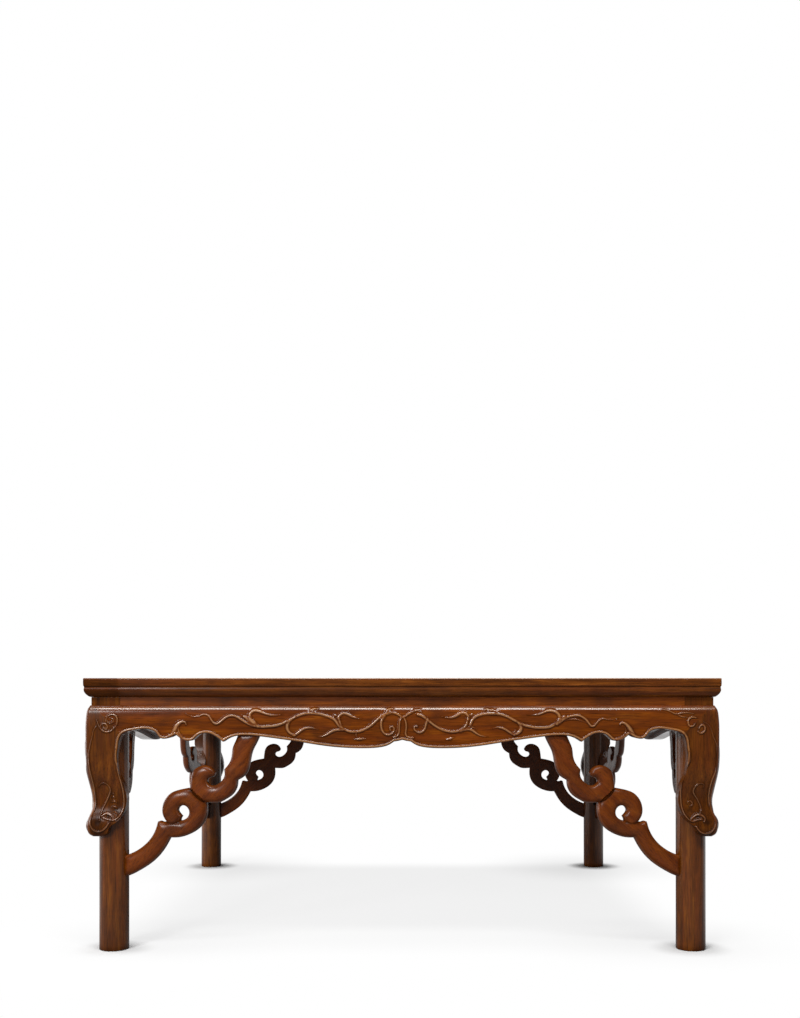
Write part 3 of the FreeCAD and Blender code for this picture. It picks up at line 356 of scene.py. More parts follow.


# Shells: points, faces and a value for worn places and painted light at every point

def tube(rings, wear=None):
    """Closed loops of equal length, one a station, joined by quads and closed at both ends."""
    stations, around = rings.shape[:2]
    grid = np.arange(stations * around).reshape(stations, around)
    after = np.roll(grid, -1, axis=1)
    quads = np.stack([grid[:-1], after[:-1], after[1:], grid[1:]], axis=-1).reshape(-1, 4)
    caps = [grid[0][::-1].tolist(), grid[-1].tolist()]
    values = np.zeros(stations * around) if wear is None else wear.reshape(-1)
    return outward(rings.reshape(-1, 3), quads.tolist() + caps, values)


def outward(points, faces, wear):
    """The shell, turned so that its volume, summed over fans of triangles, is positive."""
    volume = 0.0
    sizes = np.array([len(face) for face in faces])
    for size in np.unique(sizes):
        group = np.array([face for face in faces if len(face) == size])
        for index in range(1, size - 1):
            a, b, c = (points[group[:, k]] for k in (0, index, index + 1))
            volume += np.einsum("ij,ij->", a, np.cross(b, c))
    if volume < 0:
        faces = [face[::-1] for face in faces]
    return points, faces, wear


def piece(name, shells, material, nodes, sharp):
    """One mesh object from shells in millimetres, riding on the body, in place of CAD nodes.
    Edges sharper than that many degrees stay crisp."""
    points = np.concatenate([shell[0] for shell in shells]) * MM
    wear = np.concatenate([shell[2] for shell in shells])
    faces = []
    first = 0
    for spots, shell_faces, _ in shells:
        faces += [[first + index for index in face] for face in shell_faces]
        first += len(spots)
    mesh = bpy.data.meshes.new(name)
    mesh.from_pydata(points.tolist(), [], faces)
    values = mesh.attributes.new("wear", "FLOAT", "POINT").data
    values.foreach_set("value", wear.astype(np.float32))
    mesh.shade_smooth()
    mesh.set_sharp_from_angle(angle=math.radians(sharp))
    mesh.materials.append(material)
    made = bpy.data.objects.new(name, mesh)
    bpy.context.collection.objects.link(made)
    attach(made, "root")
    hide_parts(*nodes)


def quarter_turns(shells, turns):
    """The shells turned about Z through the middle by that many right angles."""
    cos, sin = [(1, 0), (0, 1), (-1, 0), (0, -1)][turns]
    turn = np.array([[cos, sin, 0], [-sin, cos, 0], [0, 0, 1]], float)
    return [(points @ turn, faces, wear) for points, faces, wear in shells]


def flipped(shells):
    """The shells mirrored left to right, with their faces turned back outwards."""
    return [(points * (-1, 1, 1), [face[::-1] for face in faces], wear)
            for points, faces, wear in shells]


def eased_box(low, high, ease, worn=0.0):
    """A box with one value for wear, whose upright edges are arcs and whose top and bottom are
    drawn in by the same quarter round: a rounded rectangle carried up, its inset following a
    quarter circle. A narrow margin beside each round keeps the faces flat in their shading."""
    low = np.asarray(low, float)
    high = np.asarray(high, float)
    steps = 4
    margin = 0.25
    bend = np.linspace(0.0, QUARTER, steps)
    climb = np.concatenate([(1 - np.cos(bend)) * ease, [ease + margin]])
    drawn_in = np.concatenate([(1 - np.sin(bend)) * ease, [0.0]])
    inset = np.concatenate([drawn_in, drawn_in[::-1]])
    level = np.concatenate([low[2] + climb, high[2] - climb[::-1]])
    turn = np.concatenate([[0.0], bend, [QUARTER]])
    turn = (np.arange(4)[:, None] * QUARTER + turn).ravel()
    slip = np.tile([-margin] + [0.0] * steps + [margin], 4)[:, None]
    centre = (low[:2] + high[:2]) / 2
    half = (high[:2] - low[:2]) / 2 - ease
    side = np.array([(1, 1), (-1, 1), (-1, -1), (1, -1)]).repeat(steps + 2, axis=0)
    arc = np.stack([np.cos(turn), np.sin(turn)], axis=1)
    along = np.stack([-np.sin(turn), np.cos(turn)], axis=1) * slip
    radius = (ease * 1.001 - inset)[:, None, None]
    ring = centre + side * half + along + arc[None] * radius
    heights = np.broadcast_to(level[:, None, None], ring.shape[:2] + (1,))
    rings = np.concatenate([ring, heights], axis=2)
    return tube(rings, np.full(rings.shape[:2], worn))


# Wood

def linear(colour):
    """A hex colour as the linear values that a shader takes."""
    parts = np.array([int(colour[index:index + 2], 16) for index in (1, 3, 5)]) / 255
    parts = np.where(parts <= 0.04045, parts / 12.92, ((parts + 0.055) / 1.055) ** 2.4)
    return (*parts.tolist(), 1.0)


def blank(name):
    """A new material and its empty node tree."""
    material = bpy.data.materials.new(name)
    material.use_nodes = True
    material.node_tree.nodes.clear()
    return material, material.node_tree


def add(tree, kind, settings=(), take=None, **inputs):
    """A shader node with its settings and inputs, and its output: the named one, or the first in
    use. An input goes by its identifier, with _ for a space. A value that is an output is
    linked, and anything else becomes the input's own value. The setting stops fills a colour
    ramp with pairs of position and hex colour."""
    node = tree.nodes.new("ShaderNode" + kind)
    for name, value in dict(settings).items():
        if name == "stops":
            marks = node.color_ramp.elements
            while len(marks) < len(value):
                marks.new(0.5)
            for mark, (position, colour) in zip(marks, value):
                mark.position = position
                mark.color = linear(colour)
        else:
            setattr(node, name, value)
    for name, value in inputs.items():
        socket = next(item for item in node.inputs if item.identifier.replace(" ", "_") == name)
        if isinstance(value, bpy.types.NodeSocket):
            tree.links.new(value, socket)
        else:
            socket.default_value = value
    fits = [item for item in node.outputs if (item.identifier == take if take else item.enabled)]
    return fits[0] if fits else None


GRAIN = {"X": (0.0, 0.0, 0.0), "Y": (0.0, 0.0, -QUARTER), "Z": (0.0, QUARTER, 0.0)}
BRACE_SLOPE = math.radians(46)
# The pale colour stands for edges worn by hands and for painted highlights, the dark one for old
# wax in hollows and for painted shade.
RED, SMUDGE, RUBBED_AND_HIGHLIGHT, OLD_WAX_AND_SHADE = map(linear, ("#6e3012", "#34180a", "#a87a48", "#1c0c04"))


def wood(name, turn, offset, tones, gloss=0.22, shine=0.15, streaky=0.42, smudged=0.5):
    """Hardwood sawn along the grain, scraped, waxed and rubbed to a soft shine.

    Slow changes of tone, growth rings about a far pith, soft streaks a few millimetres wide and
    fine open pores, all drawn out along the grain. Where the mesh marks a point high, the colour is
    paler and the wax softer and shinier: edges worn by hands, and painted highlights on the
    shoulders, the carved crests, the roll of the frame and the arrises of the braces. Where it
    marks a point low, the wood is darker and duller: old wax in carved hollows, and painted shade
    in creases, in the line below the frame's band and on the braces."""
    material, tree = blank(name)
    place = add(tree, "TexCoord", take="Object")
    grain = add(tree, "Mapping", Vector=place, Rotation=turn, Location=offset)

    def drawn_out(along, across, detail, distortion):
        """Noise whose spots are that many millimetres long and wide."""
        scale = (1000 / along, 1000 / across, 1000 / across)
        vector = add(tree, "Mapping", Vector=grain, Scale=scale)
        return add(tree, "TexNoise", Vector=vector, Scale=1.0, Detail=detail, Roughness=0.55,
                   Distortion=distortion)

    def even(size, detail, distortion=0.0):
        """Noise with round spots of that size in millimetres."""
        return add(tree, "TexNoise", Vector=grain, Scale=1000 / size, Detail=detail,
                   Distortion=distortion)

    # Real pores are 0.1 to 0.2 mm wide and the finest grain under 1 mm. Here they are 0.5 and
    # 1.4 mm, so that they show in the render.
    tone = drawn_out(200.0, 41.6667, 3.0, 1.2)
    streaks = drawn_out(142.857, 5.26316, 4.0, 0.5)
    red_streaks = drawn_out(250.0, 7.69231, 2.0, 0.6)
    fine = drawn_out(45.4545, 1.428571, 3.0, 0.2)
    pores = drawn_out(22.2222, 0.5263158, 2.0, 0.0)
    smudges = even(66.6667, 3.0, 0.6)
    # Growth rings: a wave of scale 1 repeats every pi / 10 of a metre.
    ring_gap = 17.4533
    ring_place = add(tree, "Mapping", Vector=grain, Scale=(0.3, 1.0, 1.0))
    rings = add(tree, "TexWave", {"wave_type": "RINGS", "rings_direction": "X"}, "Fac",
                Vector=ring_place, Scale=100 * math.pi / ring_gap, Distortion=9.0, Detail=3.0,
                Detail_Scale=1.4, Detail_Roughness=0.6)
    wear = add(tree, "Attribute", {"attribute_name": "wear"}, "Fac")
    red, smudge, rub_and_highlight, wax_and_shade, rough, softer, polish, dull = (
        add(tree, "MapRange", Value=value, From_Min=low, From_Max=high, To_Min=at_low,
            To_Max=at_high)
        for value, low, high, at_low, at_high in (
            (red_streaks, 0.50, 0.66, 0.0, 0.25), (smudges, 0.34, 0.52, smudged, 0.0),
            (wear, 0.3, 1.0, 0.0, 0.50), (wear, -1.0, 0.0, 0.85, 0.0),
            (streaks, 0.3, 0.7, gloss + 0.05, gloss - 0.03), (wear, 0.6, 1.0, 0.0, 0.16),
            (wear, 0.0, 0.6, shine, 0.55), (wear, -0.3, 0.0, 0.3, 1.0)))

    figure = tone
    for share, pattern in ((0.22, rings), (streaky, streaks), (0.25, fine)):
        figure = add(tree, "Mix", Factor_Float=share, A_Float=figure, B_Float=pattern)
    tone_stops = list(zip((0.30, 0.43, 0.55, 0.70), tones))
    colour = add(tree, "ValToRGB", {"stops": tone_stops}, Fac=figure)
    dark_pores = add(tree, "ValToRGB", {"stops": [(0.36, "#4a3a30"), (0.48, "#ffffff")]}, Fac=pores)
    for share, other, how in ((red, RED, "MIX"), (smudge, SMUDGE, "MIX"),
                              (0.55, dark_pores, "MULTIPLY"), (rub_and_highlight, RUBBED_AND_HIGHLIGHT, "MIX"),
                              (wax_and_shade, OLD_WAX_AND_SHADE, "MIX")):
        colour = add(tree, "Mix", {"data_type": "RGBA", "blend_type": how}, Factor_Float=share,
                     A_Color=colour, B_Color=other)
    rough = add(tree, "Math", {"operation": "ADD"}, Value=rough, Value_001=softer)
    polish = add(tree, "Math", {"operation": "MULTIPLY"}, Value=polish, Value_001=dull)
    grained = add(tree, "Bump", Strength=0.08, Distance=0.2 * MM, Height=fine)
    scraped = add(tree, "Bump", Strength=0.05, Distance=1.2 * MM, Height=even(23.8095, 2.0),
                  Normal=grained)
    add(tree, "OutputMaterial", Surface=add(
        tree, "BsdfPrincipled", Base_Color=colour, Roughness=rough, Normal=scraped,
        Specular_IOR_Level=polish))
    return material


# Four tones each, from the dark streaks to the light ones.
FRAME_TONES = ("#251003", "#452105", "#5b2e09", "#824a18")
APRON_TONES = ("#321401", "#512302", "#652f03", "#834a08")
LEG_TONES = ("#260d01", "#452103", "#5b2e07", "#7a4711")
BRACE_TONES = ("#421901", "#552403", "#622d05", "#703a0b")
WAIST_TONES = ("#2b0d01", "#4e2202", "#642f03", "#834407")
BOARD_TONES = ("#2f1403", "#4c2506", "#5f320b", "#7b4a17")
RAW_TONES = ("#43382c", "#544738", "#645545", "#766756")


# Top frame

def frame_member(seed, stained):
    """A front member: its section is carried along X to the mitres, each point ending where the
    distance from the middle equals its own depth. The eased band, the line below it and the
    roll are one closed profile, and the face waves by a tenth of a millimetre as hand planing
    leaves it: a sum of three sines along the length. Bells pale the arris as worn, darken the line
    below the band as painted shade and pale the top of the roll as a painted highlight, with a
    shinier wax. One end may be stained darker."""
    waist = LEG + WAIST
    bend = np.linspace(0.0, QUARTER, 5)
    rise = np.linspace(0.0, 1.0, 9)[1:-1]
    band_face = np.stack([HALF - 0.25 * (2 * rise - 1) ** 2,
                          TOP - ARRIS - (BAND - ARRIS - 1.0) * rise], axis=1)
    roll = smooth_line([(HALF - 1.2, BAND_LOW - 1.4), (HALF - 0.7, 397.0), (HALF - 2.0, 392.4),
                        (HALF - 4.8, 388.8), (waist + 1.0, UNDER + 0.15), (waist - 1.0, UNDER)],
                       1.0, start=(0.0, -1.0))
    profile = np.concatenate([
        [(OPENING, TOP - 0.3), (OPENING + 0.3, TOP), (OPENING + 2.0, TOP),
         (HALF - ARRIS - 3.0, TOP)],
        np.stack([HALF - ARRIS + ARRIS * np.sin(bend), TOP - ARRIS + ARRIS * np.cos(bend)], axis=1),
        band_face,
        [(HALF - 0.15, BAND_LOW + 0.7), (HALF - 0.6, BAND_LOW + 0.1), (HALF - 1.1, BAND_LOW - 0.6)],
        roll,
        [(OPENING + 1.0, UNDER), (OPENING, UNDER + 1.0), (OPENING, GROOVE_LOW),
         (OPENING + GROOVE_DEEP, GROOVE_LOW), (OPENING + GROOVE_DEEP, GROOVE_HIGH),
         (OPENING, GROOVE_HIGH)]])
    out, high = profile.T
    mitre_gap = 0.0003
    share = np.linspace(-1.0, 1.0, 161) * (1 - mitre_gap)
    wave = 0.05 * (np.sin(share * 9.1 + seed) + np.sin(share * 23.0 + 2 * seed)
                   + np.sin(share * 41.0))
    outer = np.clip((out - HALF + 8.0) / 8.0, 0.0, 1.0)
    depth = out[None] + (wave[:, None] - 0.16) * outer[None]
    height = np.broadcast_to(high[None], depth.shape)
    rings = np.stack([share[:, None] * depth, -depth, height], axis=-1)
    # Paler arris as worn, the line below the band darkened as painted shade, the top of the roll
    # paler and shinier as a painted highlight.
    arris = np.exp(-((out - HALF + 0.4) ** 2 + (high - TOP + 0.4) ** 2) / 1.5)
    line = np.exp(-((out - HALF + 1.0) ** 2 + (high - BAND_LOW + 0.8) ** 2) / 0.8)
    rub_and_highlight = np.exp(-((high - BAND_LOW + 3.2) / 1.3) ** 2) * (out > HALF - 4.0)
    stain = 0.6 * stained * np.clip((-share * HALF - 424.0) / 8.0, 0.0, 1.0)
    wear = (0.8 * arris + 0.3 * rub_and_highlight - 0.9 * line)[None] - stain[:, None] * outer[None]
    return [tube(rings, wear)]


# Top boards

def board(number):
    """One of the three boards: its arrises eased, so that a fine dark V shows at each seam, on
    its lower half, which reaches out as the tongue."""
    wide = 2 * BOARD_HALF / 3
    low, high = number * wide - BOARD_HALF, (number + 1) * wide - BOARD_HALF
    points, faces, _ = eased_box((-BOARD_HALF, low, TOP - BOARD_THICK / 2),
                                 (BOARD_HALF, high, TOP), 0.7)
    wear = np.where(points[:, 2] > TOP - 0.3, 0.0, -0.7)
    tongue_low = low if number else low - BOARD_TONGUE
    tongue_high = high if number < 2 else high + BOARD_TONGUE
    tongue = eased_box((-BOARD_HALF - BOARD_TONGUE, tongue_low, TOP - BOARD_THICK),
                       (BOARD_HALF + BOARD_TONGUE, tongue_high, TOP - BOARD_THICK + TONGUE_THICK),
                       0.5, -0.2)
    return [(points, faces, wear), tongue]


# Aprons

def apron_edge():
    """Lower edge of the left half from the mitre to the middle: smooth stretches between cusps,
    as distance from the middle and depth below the shoulder."""
    runs = [((1, 0) + run * (-1, 1)) * (LEG, APRON_DEEP) for run in stretches(EDGE_LINE)]
    runs[0] = np.concatenate([[(LEG - BLOCK_IN, MITRE_DEEP)], runs[0]])
    lines = [smooth_line(run, 1.1, start=None if index else MEETING)
             for index, run in enumerate(runs)]
    return np.concatenate(lines[:1] + [line[1:] for line in lines[1:]])


def shoulder_roll(down):
    """How far the face stands outside the leg axis, at a depth below the shoulder."""
    line = smooth_line(pairs(ROLL_LINE, (FACE, ROLL_DEEP)), STEP, end=(0.0, 1.0))
    return np.interp(down, line[:, 1], line[:, 0])


def shoulder_rub_and_highlight(down):
    """A paler, shinier band on the shoulder, where hands polish the wax and a highlight is painted:
    a bell over the depth, highest 4.6 mm down.
    """
    return 0.6 * np.exp(-((down - 4.6) / 2.6) ** 2)


def apron_half(vine, mitre):
    """The left half of a front apron, carved with a vine: columns from the rounded shoulder down
    to the cusped edge, round the underside, up the back and over the top. The face is the
    shoulder roll, sunk by the carved ground and raised by the relief. Beyond the shoulder
    blocks only the mitred lap is left."""
    edge = apron_edge()
    tip = np.linspace(LEG + LAP_IN - 0.4, LEG - BLOCK_IN, 46)[:-1]
    lap = np.stack([tip, LEG + LAP_IN - tip], axis=1)
    left = np.concatenate([lap, edge[:1], edge])
    back = np.concatenate([np.full(len(lap) + 1, LAP_IN), np.full(len(edge), APRON_BACK)])
    rows = 66
    share = np.linspace(0.0, 1.0, rows)
    share = 0.6 * share + 0.4 * (1 - (1 - share) ** 2)
    down = left[:, 1:] * share[None]
    across = np.broadcast_to(left[:, :1], down.shape)
    carving = carved(vine) + carved(mitre, LEG)
    height, wear = relief(across, down, rim_gap(across, down, edge, 18.0), carving)
    fade = np.clip(down / FADE, 0.0, 1.0)
    # The carving's worn crests, painted highlights and painted shade fade in below the shoulder,
    # which gets its own paler, shinier band as a painted highlight.
    wear = wear * fade + shoulder_rub_and_highlight(down)
    face = shoulder_roll(down) + fade * (PROUD * height - SUNK)
    low = left[:, 1]
    ease = np.minimum(1.5, low * 0.3)
    under = np.stack([face[:, -1] - 0.9, back + ease + 0.2, back + ease, back], axis=1)
    under_down = np.stack([low, low, low, low - ease], axis=1)
    climb = np.linspace(0.75, 0.0, 4)
    behind = np.broadcast_to(back[:, None], (len(left), 4))
    behind_down = (low - ease)[:, None] * climb[None]
    over = back[:, None] + (face[:, 0] - back)[:, None] * (0.4, 0.8)
    outside = np.concatenate([face, under, behind, over], axis=1)
    depth = np.concatenate([down, under_down, behind_down, 0.0 * over], axis=1)
    plain = np.full((len(left), outside.shape[1] - rows), -0.1)
    line = np.broadcast_to(left[:, :1], outside.shape)
    rings = np.stack([-line, -(LEG + outside), SHOULDER - depth], axis=-1)
    return rings, np.concatenate([wear, plain], axis=1)


def apron():
    """A front apron, mitre to mitre, with a half vine on each side."""
    left, left_wear_and_painted_light = apron_half(VINE_LEFT, MITRE_LEFT)
    right, right_wear_and_painted_light = apron_half(VINE_RIGHT, MITRE_RIGHT)
    right = right[-2::-1] * (-1, 1, 1)
    return [tube(np.concatenate([left, right]), np.concatenate([left_wear_and_painted_light, right_wear_and_painted_light[-2::-1]]))]


# Legs

def leg_outline():
    """Outer and inner limit of the shell seen from the front, outside the leg axis, at each of
    its levels, which lie closer together towards the underside of the foot, and the line of its
    inner edge."""
    calf = smooth_line(pairs(CALF_LINE, (FACE, SHELL_DROP)), STEP, start=(0.0, 1.0))
    foot = smooth_line(pairs(FOOT_LINE, (-FACE, SHELL_DROP)), STEP)
    shin = np.concatenate([pairs(SHIN_LINE, (-FACE, SHELL_DROP)), [(-BLOCK_IN, MITRE_DEEP)]])
    inner = np.concatenate([foot, smooth_line(shin, STEP, end=MEETING)[1:]])[::-1]
    ankle = 0.93        # share of the drop where the levels begin to close up
    to_sole = 1 - np.linspace(0.0, 1.0, 32)
    down = np.concatenate([np.linspace(0.0, SHELL_DROP * ankle, 208)[:-1],
                           SHELL_DROP * (1 - (1 - ankle) * to_sole ** 1.6)])
    outer = np.where(down < ROLL_DEEP, shoulder_roll(down),
                     np.interp(down, calf[:, 1], calf[:, 0], left=FACE))
    low = np.where(down < MITRE_DEEP, LAP_IN - down, np.interp(down, inner[:, 1], inner[:, 0]))
    return down, outer, low, inner


def leg_face(across, down, outer, inner, carving):
    """One face of the shell over its grid of places: how far it stands outside the axis, and its
    value for worn places and painted light. The outline is sunk by the carved ground and raised by
    the relief, less the hollows of the curled foot, each a bell. The bead along the edge ends below
    the knee, the shell is a little darker all over and darker still towards the foot, and the
    shoulder is paler and shinier as a painted highlight."""
    level = np.broadcast_to(down[:, None], across.shape)
    gap = rim_gap(across, level, inner, MITRE_DEEP - 6.0)
    gap = gap + 9.0 * np.clip((level - 84.0) / 20.0, 0.0, 1.0)
    height, wear = relief(across, level, gap, carved(carving))
    for out, deep, radius, depth in FOOT_HOLLOWS:
        dish = np.exp(-((across - out) ** 2 + (level - deep) ** 2) / radius ** 2)
        height = height - depth / PROUD * dish * (1.0 - height)
        wear = wear - 0.5 * dish * (1.0 - height)
    fade = np.clip(down / FADE, 0.0, 1.0)[:, None]
    # Darker all over and darker still towards the foot; the shoulder gets its paler, shinier band
    # as a painted highlight.
    darkening = 0.15 + 0.20 * np.clip((level - 120.0) / 50.0, 0.0, 1.0)
    wear = (wear - darkening) * fade + shoulder_rub_and_highlight(level)
    return outer[:, None] + fade * (PROUD * height - SUNK), wear


def leg_shell():
    """The shell of a front left leg: at each level an L from the inner edge, along the front,
    round the corner and along the side. Its front meets the left end of an apron and its side
    the right end of the next one."""
    down, outer, low, inner = leg_outline()
    round_off = np.minimum(CORNER, (outer - low) * 0.32)
    flat = (outer - round_off)[:, None]
    low = low[:, None]
    across = low + np.linspace(0.0, 1.0, 72)[None] * (flat - low)
    front, front_wear_and_painted_light = leg_face(across, down, outer, inner, LEG_LEFT + MITRE_LEFT)
    side, side_wear_and_painted_light = leg_face(across, down, outer, inner, LEG_RIGHT + MITRE_RIGHT)
    bend = np.linspace(0.0, QUARTER, 9)[1:-1]
    ground = outer - SUNK * np.clip(down / FADE, 0.0, 1.0)
    reach = (round_off + ground - outer)[:, None]
    inside = np.maximum(SHELL_BACK, low)
    wall = np.linspace(0.0, 1.0, 6)[1:-1]

    def jamb(face):
        """The inner edge of a face: from the inside corner out to the carving."""
        lows = np.broadcast_to(low, (len(low), len(wall)))
        depths = face[:, :1] + (inside - face[:, :1]) * (1 - wall[None])
        return (np.concatenate([inside, low, lows], axis=1),
                np.concatenate([inside, inside, depths], axis=1))

    front_low, front_deep = jamb(front)
    side_low, side_deep = jamb(side)
    u = np.concatenate([front_low, across, flat + reach * np.sin(bend), side[:, ::-1],
                        side_deep[:, :0:-1]], axis=1)
    v = np.concatenate([front_deep, front, flat + reach * np.cos(bend), across[:, ::-1],
                        side_low[:, :0:-1]], axis=1)
    plain = np.zeros(front_low.shape)
    corner = np.full((len(down), len(bend)), 0.12)
    wear = np.concatenate([plain, front_wear_and_painted_light, corner, side_wear_and_painted_light[:, ::-1], plain[:, 1:]], axis=1)
    heights = np.broadcast_to(SHOULDER - down[:, None], u.shape)
    return tube(np.stack([-(LEG + u), -(LEG + v), heights], axis=-1), wear)


def leg_post():
    """The round post: a circle carried up from an eased foot. The plane left it uneven by a
    tenth of a millimetre or two: two sines round the circle, one of them turning with the
    height. Above the foot of each brace the open end of its mortise is sunk into the surface.
    The sunk walls are darkened as painted shade. The value is lowest at the floor, where the post
    is darker, and rises from it as an exponential."""
    slot_low, slot_high = BRACE_FLOOR + 29.0, BRACE_FLOOR + 38.0
    slot_half = math.asin(4.0 / POST)
    slot_deep = 9.0
    rim = 0.05
    facets = 96
    foot_up, foot_in = [0.0, 0.25, 0.8, 1.5], [1.5, 0.9, 0.3, 0.0]
    heights = np.concatenate([foot_up, np.linspace(8.0, slot_low - rim, 12),
                              [slot_low, slot_high, slot_high + rim],
                              np.linspace(slot_high + 8.0, MITRE_LOW + 10.0, 20)])
    sides = [mark + sign * (slot_half + more) for mark in (0.0, QUARTER) for sign in (-1, 1)
             for more in (0.0, 0.002)]
    circle = np.linspace(0.0, 2 * math.pi, facets, endpoint=False)
    turn = np.unique(np.concatenate([circle, sides]) % (2 * math.pi))
    away = [np.abs((turn - mark + math.pi) % (2 * math.pi) - math.pi) for mark in (0.0, QUARTER)]
    close = 1e-6
    level = (heights >= slot_low - close) & (heights <= slot_high + close)
    sunk = (np.min(away, axis=0) <= slot_half + close) & level[:, None]
    uneven = 0.12 * np.sin(3 * turn + heights[:, None] / 70) + 0.08 * np.sin(7 * turn)
    radius = POST - 0.2 + uneven - np.interp(heights, foot_up, foot_in)[:, None]
    radius = np.where(sunk, POST - slot_deep, radius)
    rings = np.stack([-LEG + radius * np.cos(turn), -LEG + radius * np.sin(turn),
                      np.broadcast_to(heights[:, None], radius.shape)], axis=-1)
    darker_at_floor = 0.12 - 0.47 * np.exp(-heights / 5.0)[:, None]
    # The sunk mortise is darkened as painted shade; the post is darker towards the floor.
    return tube(rings, np.where(sunk, -1.0, darker_at_floor))


def leg():
    """A front left leg: shell, post, shoulder block, waist block and the two top tenons."""
    axis = np.array([-LEG, -LEG, 0.0])
    lap = 0.2 - LAP_IN
    out = -18.0         # outer side of a tenon from the axis
    low, high = UNDER - 1.0, UNDER + 19.8
    boxes = [((lap, lap, MITRE_LOW), (BLOCK_IN, BLOCK_IN, SHOULDER - 0.2), 0.8, 0.0),
             ((-WAIST, -WAIST, SHOULDER - 0.4), (WAIST_IN, WAIST_IN, UNDER - 0.1), 0.5, -0.25),
             ((0.0, out, low), (TENON, TENON + out, high), 0.6, 0.0),
             ((out, 0.0, low), (TENON + out, TENON, high), 0.6, 0.0)]
    return [leg_shell(), leg_post()] + [eased_box(axis + low, axis + high, ease, worn)
                                        for low, high, ease, worn in boxes]


# Braces

def brace_outline(rows, step):
    """Closed outline from smooth stretches between corners, without repeated points."""
    return np.concatenate([smooth_line(run * (BRACE_RUN, BRACE_RISE), step)[:-1]
                           for run in stretches(rows)])


def inside_of(spots, ring):
    """Which spots lie inside a closed outline, by the count of its edges to their right."""
    ahead = np.roll(ring, -1, axis=0)
    x, y = spots[:, :1], spots[:, 1:]
    crossing = (ring[:, 1] > y) != (ahead[:, 1] > y)
    rise = ahead[:, 1] - ring[:, 1]
    rise = np.where(rise == 0, 1e-12, rise)
    reach = ring[:, 0] + (y - ring[:, 1]) * ((ahead[:, 0] - ring[:, 0]) / rise)
    return (crossing & (x < reach)).sum(axis=1) % 2 == 1


